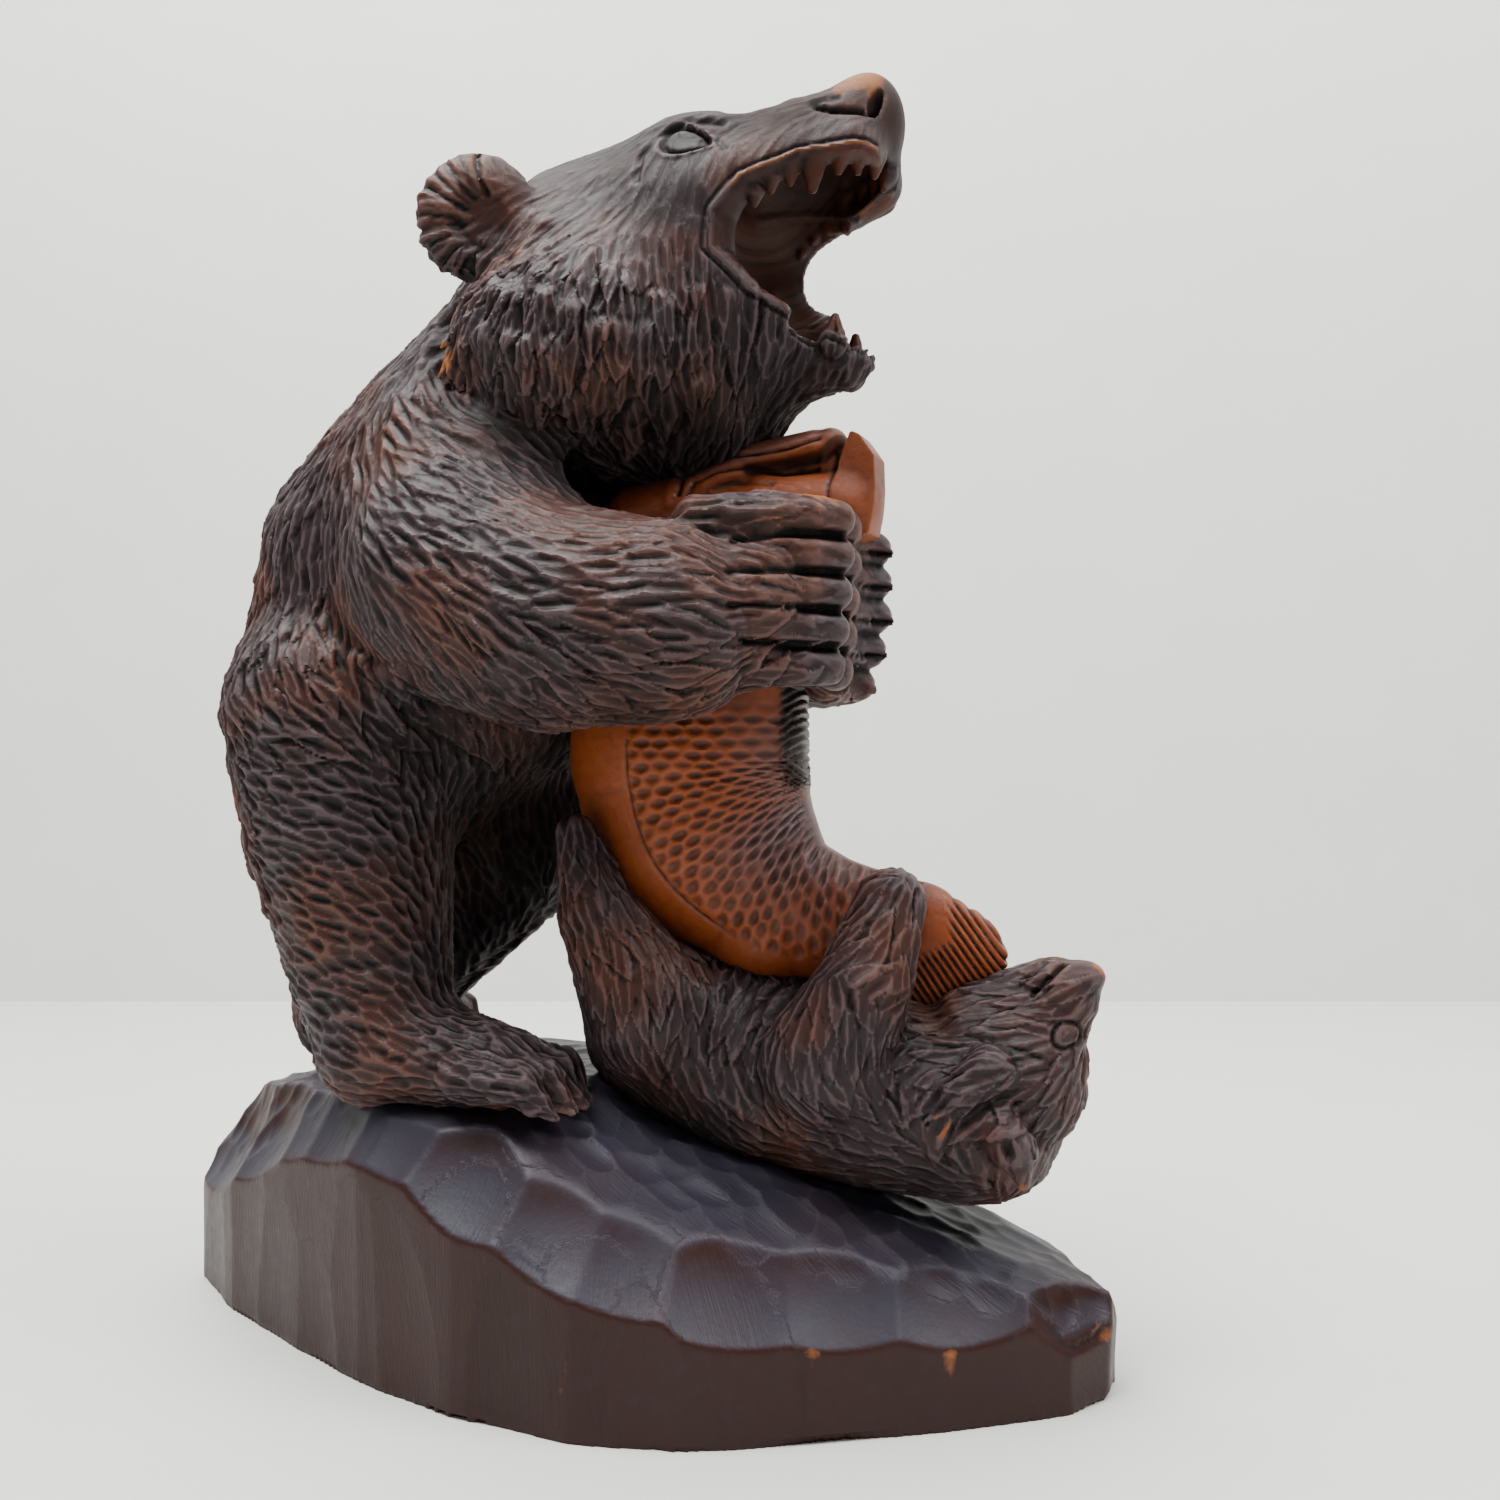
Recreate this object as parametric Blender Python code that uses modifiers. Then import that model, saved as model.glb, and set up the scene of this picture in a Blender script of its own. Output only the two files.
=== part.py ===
"""A carved wooden bear with a salmon and a cub, all of one block with the plinth.

The front of the group points along +X, +Z is up, and the floor is z = 0. The stations of the
figure are in units, and there are 500 units in the height, so the figure keeps its proportions.
"""

import math
import random

import bmesh
import bpy
from mathutils import Euler, Matrix, Vector
from mathutils.bvhtree import BVHTree

# Driving dimensions in metres.
HEIGHT = 0.500
BASE_LENGTH = 0.401
BASE_WIDTH = 0.212
FINGER_RADIUS = 0.0070
CLAW_LENGTH = 0.014
LOCK_LENGTH = 0.024
LOCK_RADIUS = 0.0080
EAR_RADIUS = 0.0237
TOOTH_LENGTH = 0.011
EYE_LENGTH = 0.018
MASS_VOXEL = 0.0045
FINE_VOXEL = 0.0027

# Counts and shares.
EYE_CUT = 0.14
EYE_DEPTH = 0.33
FIGURE_TRIANGLES = 8600
MASS_SMOOTHING = 7
FINE_SMOOTHING = 1
FINGERS = 5
TOES = 4
HEM_LOCKS = 12
CUT_SEED = 11
CUT_WANDER = 0.0015

UNIT = HEIGHT / 500


def remove_objects():
    """Clear the scene of every object."""
    for obj in list(bpy.data.objects):
        bpy.data.objects.remove(obj, do_unlink=True)


def collection_named(name):
    """Make a collection of the scene."""
    made = bpy.data.collections.new(name)
    bpy.context.scene.collection.children.link(made)
    return made


def wood_material(name, colour, roughness):
    """Make a stained wood finish."""
    made = bpy.data.materials.new(name)
    made.use_nodes = True
    shader = made.node_tree.nodes["Principled BSDF"]
    shader.inputs["Base Color"].default_value = (*colour, 1.0)
    shader.inputs["Roughness"].default_value = roughness
    return made


def along(stations, share):
    """Interpolate between stations, each a tuple of numbers, at a share of the way."""
    place = share * (len(stations) - 1)
    low = min(int(place), len(stations) - 2)
    part = place - low
    return [a + (b - a) * part for a, b in zip(stations[low], stations[low + 1])]


def profile(knots, place):
    """Read a height from knots (place, value)."""
    for (start, low), (end, high) in zip(knots, knots[1:]):
        if place <= end:
            return low + (high - low) * (place - start) / (end - start)
    return knots[-1][1]


class Shapes:
    """A heap of overlapping closed forms that become one mesh object."""

    def __init__(self):
        self.mesh = bmesh.new()

    def hull(self, points):
        """Add the convex hull of some points."""
        corners = [self.mesh.verts.new(point) for point in points]
        made = bmesh.ops.convex_hull(self.mesh, input=corners)
        spare = [item for item in made["geom_interior"] if isinstance(item, bmesh.types.BMVert)]
        bmesh.ops.delete(self.mesh, geom=spare, context="VERTS")

    def ball(self, centre, radii, turn=(0, 0, 0)):
        """Add an ellipsoid, given in units, turned by degrees about X, Y and Z."""
        place = Matrix.Translation(Vector(centre) * UNIT)
        spin = Euler([math.radians(angle) for angle in turn]).to_matrix().to_4x4()
        size = Matrix.Diagonal((*[radius * UNIT for radius in radii], 1.0))
        bmesh.ops.create_uvsphere(
            self.mesh, u_segments=28, v_segments=16, radius=1.0, matrix=place @ spin @ size
        )

    def limb(self, stations, wide=1.0):
        """Add a rounded limb through stations (x, y, z, radius) in units, wide times as broad in Y."""
        for start, end in zip(stations, stations[1:]):
            points = []
            for x, y, z, radius in (start, end):
                points += sphere_points((x, y, z), radius, wide)
            self.hull(points)

    def lock(self, root, tip, radius):
        """Add one pointed lock of fur from root to tip, in units."""
        middle = [(a + b) / 2 for a, b in zip(root, tip)]
        self.limb([(*root, radius), (*middle, radius * 0.8), (*tip, radius * 0.2)])

    def to_object(self, name, collection):
        """Turn the heap into an object."""
        bmesh.ops.recalc_face_normals(self.mesh, faces=self.mesh.faces)
        data = bpy.data.meshes.new(name)
        self.mesh.to_mesh(data)
        self.mesh.free()
        made = bpy.data.objects.new(name, data)
        collection.objects.link(made)
        return made


def sphere_points(centre, radius, wide):
    """List the points of one round end of a limb."""
    points = []
    rings = 9
    around = 16
    for ring in range(rings + 1):
        polar = math.pi * ring / rings
        steps = 1 if ring in (0, rings) else around
        for step in range(steps):
            turn = 2 * math.pi * (step + 0.5 * (ring % 2)) / around
            offset = Vector((
                radius * math.sin(polar) * math.cos(turn),
                radius * math.sin(polar) * math.sin(turn) * wide,
                radius * math.cos(polar),
            ))
            points.append((Vector(centre) + offset) * UNIT)
    return points


def bear_trunk(shapes):
    """Pelvis, back, chest and neck."""
    shapes.limb([(-109, 0, 262, 60), (-91, 0, 312, 65), (-52, 0, 348, 66), (-20, 0, 388, 58)], 1.12)
    shapes.limb([(-100, 0, 235, 50), (-62, 0, 270, 52), (-34, 0, 318, 50)], 1.1)


def bear_head(shapes):
    """Skull, cheeks, ruff, muzzle and jaws."""
    shapes.limb([(-6, 0, 433, 46), (32, 0, 450, 38)], 1.1)
    shapes.limb([(36, 0, 450, 35), (82, 0, 468, 24), (101, 0, 477, 19)], 1.2)
    shapes.limb([(30, 0, 398, 40), (66, 0, 394, 24), (97, 0, 388, 11)], 1.3)
    for side in (-1, 1):
        shapes.limb([(56, side * 26, 450, 17), (104, side * 17, 463, 12)])
        shapes.ball((2, side * 27, 398), (51, 40, 48))
        shapes.ball((34, side * 22, 424), (38, 27, 38))
        shapes.ball((64, side * 25, 426), (26, 11, 34))
    shapes.ball((24, 0, 374), (46, 48, 34))


def bear_arms(shapes):
    """Shoulders and the two forearms round the fish."""
    for side in (-1, 1):
        shapes.ball((-46, side * 44, 324), (54, 39, 56))
    shapes.limb([(-40, -52, 304, 49), (0, -62, 287, 43), (45, -60, 284, 38), (72, -47, 291, 32)])
    shapes.limb([(-40, 52, 304, 49), (0, 60, 287, 42), (40, 56, 284, 34), (66, 42, 288, 27)])


def bear_legs(shapes):
    """Thighs, shins and feet, the near one under the body and the far one set back."""
    shapes.limb([(-102, -40, 250, 50), (-97, -46, 205, 42), (-85, -50, 150, 33), (-77, -52, 124, 28)])
    shapes.limb([(-77, -52, 120, 24), (-20, -60, 116, 16)], 1.2)
    shapes.limb([(-90, 38, 245, 52), (-72, 43, 205, 45), (-122, 40, 150, 35), (-152, 38, 122, 26)])
    shapes.limb([(-154, 38, 112, 22), (-122, 42, 110, 15)], 1.2)


def cub_body(shapes):
    """The cub on its back, its hind legs up along the fish and its head to the front."""
    shapes.limb([(26, 0, 128, 36), (66, 0, 112, 38), (110, 0, 106, 38), (140, 0, 102, 35)], 1.2)
    shapes.limb([(150, 0, 102, 36), (160, 0, 112, 30)], 1.1)
    shapes.limb([(164, 0, 122, 24), (181, 0, 144, 14)], 1.15)
    for side in (-1, 1):
        shapes.limb([(28, side * 32, 136, 26), (8, side * 36, 172, 16), (-2, side * 36, 204, 8)])
        shapes.limb([(100, side * 36, 122, 24), (114, side * 36, 150, 18), (122, side * 26, 180, 13)])


def salmon_body(shapes):
    """The fish, head up between the paws, tail in the cub's mouth."""
    shapes.limb([(34, 0, 330, 26), (36, 0, 290, 44), (31, 0, 236, 50), (36, 0, 205, 46)], 0.72)
    shapes.limb([(36, 0, 205, 46), (64, 0, 176, 34), (104, 0, 168, 21)], 0.7)
    shapes.limb([(104, 0, 168, 20), (142, 0, 163, 18)], 0.45)


MASSES = (bear_trunk, bear_head, bear_arms, bear_legs, cub_body, salmon_body)


def salmon_head(shapes, skin):
    """The head of the fish above the paws."""
    shapes.limb([(30, 0, 328, 24), (60, 0, 343, 18), (83, 0, 352, 13)], 0.9)
    shapes.limb([(84, 0, 336, 20), (98, 0, 350, 12)], 0.9)


def bear_face(shapes, skin):
    """Nose, brows and ears."""
    shapes.ball((107, 0, 484), (13, 17, 15))
    ear = EAR_RADIUS / UNIT
    for side in (-1, 1):
        shapes.ball((45, side * 24, 474), (17, 9, 9))
        shapes.ball((-37, side * 51, 444), (ear, 9, ear * 1.06), (0, 0, -side * 22))


def bear_teeth(shapes):
    """Four canines and the small teeth behind them."""
    size = TOOTH_LENGTH / UNIT
    for side in (-1, 1):
        for share in (0, 0.45, 0.9):
            small = 1 if share == 0 else 0.7
            x = 100 - 30 * share
            shapes.lock((x, side * 20, 464), (x - 1, side * 19, 463 - size * 1.2 * small), 4.5)
        shapes.lock((93, side * 15, 390), (92, side * 15, 393 + size), 4.5)


def bear_paws(shapes, skin):
    """Fingers stacked on the back of the fish, and toes on the ground."""
    thick = FINGER_RADIUS / UNIT
    claw = CLAW_LENGTH / UNIT
    for side, reach in ((-1, 0), (1, 2)):
        for finger in range(FINGERS):
            share = finger / (FINGERS - 1)
            z = 321 - 54 * share - 2 * reach
            back = 9 * reach * max(0.0, share - 0.6)
            shapes.limb([
                (70, side * 52, z - 2, thick * 1.3),
                (96 - back, side * (42 - 5 * reach), z, thick * 1.2),
                (106 - back, side * (30 - 7 * reach), z, thick * 0.9),
                (108 - back + claw * 0.2, side * (30 - 7 * reach - claw * 0.5), z - 2, thick * 0.35),
            ])
    for side, x_toe in ((-1, -10), (1, -114)):
        for toe in range(TOES):
            y = side * (44 if side < 0 else 28) + side * 32 * toe / (TOES - 1)
            front = x_toe + 6 * math.sin(math.pi * (toe + 1) / (TOES + 1))
            shapes.limb([
                (front - 22, y, 118, thick * 1.3),
                (front + 6, y, 112, thick * 1.2),
                (front + 8 + claw, y, 105, thick * 0.4),
            ])


def lock_row(shapes, skin, stations, count, lean, lift=0.22, scale=1.0):
    """Lay a row of locks of fur on the skin, leaning one way, every other one longer."""
    length = LOCK_LENGTH / UNIT * scale
    radius = LOCK_RADIUS / UNIT * scale
    for number in range(count):
        near, normal, _, _ = skin.find_nearest(Vector(along(stations, number / (count - 1))) * UNIT)
        near = near / UNIT
        flow = Vector(lean)
        flow = (flow - normal * flow.dot(normal)).normalized()
        size = length * (1.0 if number % 2 else 0.8)
        root = near - normal * radius * 0.55 - flow * length * 0.3
        tip = near + flow * size + normal * length * lift
        shapes.lock(root, tip, radius)


def fur_edges(shapes, skin):
    """Ragged locks on the hem of the ruff and above it, on the rump, the elbow and the far thigh."""
    hem = [
        (-54, 40, 424), (-48, 56, 396), (-32, 66, 374), (0, 68, 362), (30, 62, 356), (54, 44, 356),
    ]
    upper = [(-34, 60, 424), (-22, 68, 404), (4, 70, 392), (34, 62, 386), (62, 44, 380)]
    cheek = [(-14, 58, 446), (2, 62, 428), (26, 58, 412), (50, 48, 400)]
    rump = [(-168, 12, 236), (-160, 34, 224), (-140, 60, 212)]
    elbow = [(-76, 66, 268), (-44, 80, 258), (-4, 88, 252), (40, 84, 252), (70, 66, 262)]
    for side in (-1, 1):
        for stations, count, lean, scale in (
            (hem, HEM_LOCKS, (-0.3, 0, -1), 1.15),
            (upper, HEM_LOCKS - 2, (-0.35, 0, -1), 1.0),
            (cheek, HEM_LOCKS - 4, (-0.4, 0, -1), 0.8),
            (rump, 5, (-0.2, 0, -1), 0.9),
            (elbow, 10, (0.5, 0, -1), 0.9),
        ):
            mirrored = [(x, side * y, z) for x, y, z in stations]
            lock_row(shapes, skin, mirrored, count, lean, scale=scale)
    lock_row(shapes, skin, [(-44, 46, 178), (-104, 46, 132)], 6, (0.2, 0, -1), scale=0.9)


def cub_head(shapes, skin):
    """Ears, nose and cheek locks of the cub."""
    for side in (-1, 1):
        shapes.ball((164, side * 33, 92), (13, 6, 13), (0, 0, -side * 20))
        lock_row(shapes, skin, [(150, side * 40, 130), (160, side * 40, 104)], 3, (-1, 0, -0.4), scale=0.7)
    shapes.ball((189, 0, 152), (8, 9, 6))


def crisp_shapes(shapes, skin):
    """Add every form that keeps its edges."""
    for build in (salmon_head, bear_face, bear_paws, fur_edges, cub_head):
        build(shapes, skin)


def mouth_hollow(shapes):
    """The open mouth: a wedge from side to side, set back further on the near side."""
    near = [
        (140, 460), (108, 462), (88, 458), (71, 449), (63, 437),
        (62, 425), (72, 411), (90, 398), (112, 389), (140, 384),
    ]
    far = [
        (140, 458), (113, 451), (108, 446), (99, 439), (92, 432),
        (88, 423), (89, 413), (98, 404), (112, 394), (140, 388),
    ]
    points = []
    for (x_near, z_near), (x_far, z_far) in zip(near, far):
        for share in (-0.4, 1.4):
            x = x_near + (x_far - x_near) * share
            z = z_near + (z_far - z_near) * share
            points.append(Vector((x, 70 * share - 35, z)) * UNIT)
    shapes.hull(points)


def mouth_depth(shapes):
    """The hollow palate, the throat and the floor of the mouth."""
    shapes.ball((88, 0, 461), (32, 17, 13), (0, -10, 0))
    shapes.ball((76, 0, 430), (28, 24, 28))
    shapes.ball((84, 0, 402), (24, 14, 12), (0, 20, 0))


def ear_hollows(shapes):
    """The dished fronts of the ears."""
    ear = EAR_RADIUS / UNIT
    for side in (-1, 1):
        turn = math.radians(-side * 22)
        x = -35 - side * math.sin(turn) * 12
        y = side * (51 + math.cos(turn) * 12)
        shapes.ball((x, y, 443), (ear * 0.64, 9, ear * 0.62), (0, 0, -side * 22))


def chest_hollows(shapes):
    """The dark hollows between the ruff, the arms and the fish."""
    for side in (-1, 1):
        shapes.ball((8, side * 34, 340), (28, 19, 14), (0, 14, 0))
        shapes.ball((-6, side * 10, 322), (16, 24, 22))


def fish_slit(shapes):
    """The slit between the jaws of the fish, a curved slot through the head."""
    path = [(36, 338, 1.2), (48, 344, 1.8), (62, 348, 2.2), (76, 350, 2.6), (88, 356, 3.2), (97, 374, 5.0)]
    outline = [(x - 0.6 * r, z + r) for x, z, r in path]
    outline += [(x + 0.6 * r, z - r) for x, z, r in reversed(path)]
    corners = [shapes.mesh.verts.new(Vector((x, -27, z)) * UNIT) for x, z in outline]
    face = shapes.mesh.faces.new(corners)
    swept = bmesh.ops.extrude_face_region(shapes.mesh, geom=[face])
    moved = [item for item in swept["geom"] if isinstance(item, bmesh.types.BMVert)]
    bmesh.ops.translate(shapes.mesh, verts=moved, vec=Vector((0, 54, 0)) * UNIT)


def subtract(target, cutter):
    """Cut one object from another."""
    cutter.hide_render = True
    cutter.display_type = "WIRE"
    made = target.modifiers.new("Cut", "BOOLEAN")
    made.operation = "DIFFERENCE"
    made.solver = "EXACT"
    made.object = cutter


def remesh(obj, voxel):
    """Melt overlapping forms into one skin."""
    made = obj.modifiers.new("Melt", "REMESH")
    made.mode = "VOXEL"
    made.voxel_size = voxel


def smooth(obj, times):
    """Soften the joins."""
    made = obj.modifiers.new("Soften", "SMOOTH")
    made.factor = 0.5
    made.iterations = times


def applied(obj):
    """The mesh of the object with its modifiers applied."""
    graph = bpy.context.evaluated_depsgraph_get()
    return bpy.data.meshes.new_from_object(obj.evaluated_get(graph))


def replace_mesh(obj):
    """Apply the modifiers of an object."""
    mesh = applied(obj)
    obj.modifiers.clear()
    obj.data = mesh


def thin(obj, triangles):
    """Reduce a mesh to a number of triangles."""
    count = sum(len(face.vertices) - 2 for face in obj.data.polygons)
    made = obj.modifiers.new("Thin", "DECIMATE")
    made.ratio = min(1.0, triangles / count)
    made.use_collapse_triangulate = True
    replace_mesh(obj)


def figure_object(collection, cutters):
    """Melt the masses together, add the crisp forms, open the mouth and thin the mesh."""
    masses = Shapes()
    for build in MASSES:
        build(masses)
    mass = masses.to_object("masses", collection)
    remesh(mass, MASS_VOXEL)
    smooth(mass, MASS_SMOOTHING)
    mass_mesh = applied(mass)
    bpy.data.objects.remove(mass, do_unlink=True)
    fine = Shapes()
    fine.mesh.from_mesh(mass_mesh)
    crisp_shapes(fine, BVHTree.FromBMesh(fine.mesh))
    solid = fine.to_object("solid", collection)
    remesh(solid, FINE_VOXEL)
    replace_mesh(solid)
    for number, build in enumerate((mouth_hollow, mouth_depth, ear_hollows, chest_hollows)):
        heap = Shapes()
        build(heap)
        cutter = heap.to_object(f"hollow_{number}", cutters)
        remesh(cutter, FINE_VOXEL * 0.7)
        subtract(solid, cutter)
        replace_mesh(solid)
    toothed = Shapes()
    toothed.mesh.from_mesh(solid.data)
    bear_teeth(toothed)
    bpy.data.objects.remove(solid, do_unlink=True)
    figure = toothed.to_object("bear_salmon_cub_and_base", collection)
    remesh(figure, FINE_VOXEL)
    smooth(figure, FINE_SMOOTHING)
    replace_mesh(figure)
    thin(figure, FIGURE_TRIANGLES)
    return figure


def base_object(collection):
    """The hewn plinth, lofted from sections along its length."""
    right = [
        (0, 0.08), (0.03, 0.18), (0.1, 0.39), (0.22, 0.62), (0.33, 0.82), (0.45, 0.95),
        (0.57, 1.0), (0.67, 0.94), (0.77, 0.74), (0.87, 0.52), (0.97, 0.26), (1, 0.09),
    ]
    left = [(0, 0.34), (0.03, 0.5), (0.1, 0.66), (0.22, 0.8), (0.33, 0.9), *right[5:]]
    wall = [
        (0, 50), (0.06, 62), (0.18, 82), (0.3, 94), (0.42, 88), (0.5, 70), (0.6, 57), (0.72, 46), (1, 36),
    ]
    band = [
        (0, 56), (0.06, 80), (0.18, 95), (0.3, 101), (0.46, 98), (0.57, 78), (0.7, 62), (0.85, 50), (1, 37),
    ]
    top = [
        (0, 58), (0.06, 86), (0.18, 98), (0.3, 103), (0.5, 108), (0.6, 90), (0.75, 73), (0.87, 56), (1, 37),
    ]
    places = [0, 0.03, 0.1, 0.19, 0.28, 0.38, 0.47, 0.55, 0.63, 0.71, 0.79, 0.88, 0.97, 1]
    chance = random.Random(CUT_SEED)
    mesh = bmesh.new()
    loops = []
    for place in places:
        across = [(1.0, 0.0), (1.0, profile(wall, place))]
        across += [(0.76, profile(band, place)), (0.4, profile(top, place))]
        section = across + [(-share, z) for share, z in reversed(across)]
        corners = []
        for share, z in section:
            half = profile(left if share > 0 else right, place) * BASE_WIDTH / 2
            shift = 0.0 if z == 0 else chance.uniform(-CUT_WANDER, CUT_WANDER)
            x = (place - 0.5) * BASE_LENGTH
            corners.append(mesh.verts.new((x, share * half, z * UNIT + shift)))
        loops.append(corners)
    for corners in loops:
        for start, end in zip(corners, corners[1:] + corners[:1]):
            mesh.edges.new((start, end))
    for first, second in zip(loops, loops[1:]):
        edges = [e for e in mesh.edges if set(e.verts) <= set(first) or set(e.verts) <= set(second)]
        bmesh.ops.bridge_loops(mesh, edges=edges)
    for corners in (loops[0], loops[-1]):
        mesh.faces.new(corners)
    bmesh.ops.triangulate(mesh, faces=mesh.faces)
    bmesh.ops.recalc_face_normals(mesh, faces=mesh.faces)
    data = bpy.data.meshes.new("base")
    mesh.to_mesh(data)
    mesh.free()
    base = bpy.data.objects.new("base", data)
    collection.objects.link(base)
    return base


def ring_cutter(name, length, height, collection):
    """A ring that incises an eye, with its axis along Z and its long way along Y."""
    mesh = bmesh.new()
    inner = 1 - EYE_CUT
    outer = 1 + EYE_CUT
    section = [(inner, -EYE_DEPTH), (outer, -EYE_DEPTH), (outer, EYE_DEPTH), (inner, EYE_DEPTH)]
    corners = [mesh.verts.new((across, 0, level)) for across, level in section]
    edges = [mesh.edges.new(pair) for pair in zip(corners, corners[1:] + corners[:1])]
    bmesh.ops.spin(
        mesh, geom=corners + edges, cent=(0, 0, 0), axis=(0, 0, 1), angle=2 * math.pi, steps=18,
        use_merge=True,
    )
    bmesh.ops.scale(mesh, verts=mesh.verts, vec=(height / 2, length / 2, length))
    bmesh.ops.recalc_face_normals(mesh, faces=mesh.faces)
    data = bpy.data.meshes.new(name)
    mesh.to_mesh(data)
    mesh.free()
    cutter = bpy.data.objects.new(name, data)
    collection.objects.link(cutter)
    return cutter


def eye_cutters(figure, collection):
    """Set a ring on the skin at each eye of the bear and of the cub."""
    tree = BVHTree.FromObject(figure, bpy.context.evaluated_depsgraph_get())
    cutters = []
    for name, x, z, length, height in (
        ("bear_eye", 45, 468, EYE_LENGTH, EYE_LENGTH * 0.62),
        ("cub_eye", 178, 133, EYE_LENGTH * 0.5, EYE_LENGTH * 0.5),
    ):
        for side in (-1, 1):
            start = Vector((x, side * 90, z)) * UNIT
            point, normal, _, _ = tree.ray_cast(start, Vector((0, -side, 0)))
            cutter = ring_cutter(name, length, height, collection)
            turn = normal.to_track_quat("Z", "X").to_matrix().to_4x4()
            cutter.matrix_world = Matrix.Translation(point) @ turn
            cutters.append(cutter)
    return cutters


def main():
    """Build the group."""
    remove_objects()
    group = collection_named("carved_wooden_bear")
    cutters = collection_named("cutters")
    figure = figure_object(group, cutters)
    base = base_object(cutters)
    base.hide_render = True
    base.display_type = "WIRE"
    join = figure.modifiers.new("Stand", "BOOLEAN")
    join.operation = "UNION"
    join.solver = "EXACT"
    join.object = base
    replace_mesh(figure)
    slit = Shapes()
    fish_slit(slit)
    for cutter in [slit.to_object("slit", cutters), *eye_cutters(figure, cutters)]:
        subtract(figure, cutter)
    figure.data.materials.clear()
    figure.data.materials.append(wood_material("dark stained wood", (0.05, 0.028, 0.02), 0.5))


main()
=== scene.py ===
"""A carved wooden bear with a salmon and a cub on a hewn plinth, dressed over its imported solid.

Forms and cuts are in millimetres and in the frame of the solid: +X the way the bear faces, +Z up, and the
near side, which the camera sees, at -Y. Each part of the carving is melted together from named forms,
meshed, and then gouged stroke by stroke, the strokes lying the way the fur is combed.
"""

import logging
import math
from dataclasses import dataclass, field, fields
from enum import Enum
from functools import partial
from typing import Callable, Iterable, Iterator, Sequence

import bmesh
import bpy
import numpy as np
from mathutils import Euler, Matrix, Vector


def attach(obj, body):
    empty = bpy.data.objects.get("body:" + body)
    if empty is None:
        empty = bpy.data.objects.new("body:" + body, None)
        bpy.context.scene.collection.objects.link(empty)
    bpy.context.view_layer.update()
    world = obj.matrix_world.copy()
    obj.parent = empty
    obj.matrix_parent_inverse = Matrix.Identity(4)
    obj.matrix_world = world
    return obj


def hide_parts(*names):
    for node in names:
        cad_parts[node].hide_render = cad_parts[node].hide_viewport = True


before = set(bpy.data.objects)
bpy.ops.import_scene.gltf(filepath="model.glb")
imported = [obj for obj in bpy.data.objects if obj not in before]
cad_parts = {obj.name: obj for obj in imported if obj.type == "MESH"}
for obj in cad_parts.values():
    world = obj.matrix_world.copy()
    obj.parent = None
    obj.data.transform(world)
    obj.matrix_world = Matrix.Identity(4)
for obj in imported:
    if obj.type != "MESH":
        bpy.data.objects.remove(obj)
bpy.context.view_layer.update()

LOG = logging.getLogger("carving")
NODE = "bear_salmon_cub_and_base"
SIDES = (-1, 1)

# Metres in a millimetre.
MM = 0.001
# Millimetres: the distance from any skin that empty clay holds, and how far round a form clay is worked.
FAR = 30.0
ROOM = 10.0
# Degrees between faces: where they meet more sharply, the edge is shaded crisp.
CRISP = 36.0
# Shares of a stroke's width and depth: how close together strokes are tried, and what is too faint to cut.
TRIED = 0.45
FAINT = 0.08
# The far side is carved plainer by this share, from 10 to 50 mm past the middle.
PLAINER = 0.4

WAXED_WOOD_IOR = 1.5
# How many times longer than wide a grain line is, and how far the grain jumps from one stroke to the next.
GRAIN_RUN = 14
GRAIN_JUMP = 37.0

# Marks on the skin that the finish reads. The dark mark is painted shade in hollows, creases and under parts;
# low relief paints shade into hollows, high relief a highlight on ridges.
MARKS = ("relief", "tone", "along", "across", "wear", "dark", "flesh", "stained")
MATH, MIX, NOISE, RANGE = "ShaderNodeMath", "ShaderNodeMix", "ShaderNodeTexNoise", "ShaderNodeMapRange"
# The numbered inputs of Map Range, and the inputs and the output of Mix that are for colours.
VALUE, LOW, HIGH, TOP = 0, 1, 2, 4
SHARE, UNDER, OVER, COLOUR = 0, 6, 7, 2

Array = np.ndarray
Station = Sequence[float]


def linear(code: str) -> tuple[float, float, float, float]:
    """Turn an sRGB hex colour into linear red, green, blue and alpha.

    Args:
        code: The colour as six hex digits.

    Returns:
        The linear colour with alpha 1.
    """
    parts = [int(code[i:i + 2], 16) / 255 for i in (0, 2, 4)]
    made = [c / 12.92 if c <= 0.04045 else ((c + 0.055) / 1.055) ** 2.4 for c in parts]
    return (made[0], made[1], made[2], 1.0)


def unit(vectors: Array) -> Array:
    """Scale vectors to length one."""
    return vectors / np.maximum(np.linalg.norm(vectors, axis=-1, keepdims=True), 1e-9)


def smoothstep(low: float, high: float, value: Array) -> Array:
    """Rise smoothly from 0 at low to 1 at high."""
    share = np.clip((value - low) / (high - low), 0.0, 1.0)
    return share * share * (3.0 - 2.0 * share)


def peak(value: Array, middle: float, width: float) -> Array:
    """Rise softly to 1 where the value is at the middle, and fall off at about the width from it."""
    return np.exp(-((value - middle) / width) ** 2)


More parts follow.
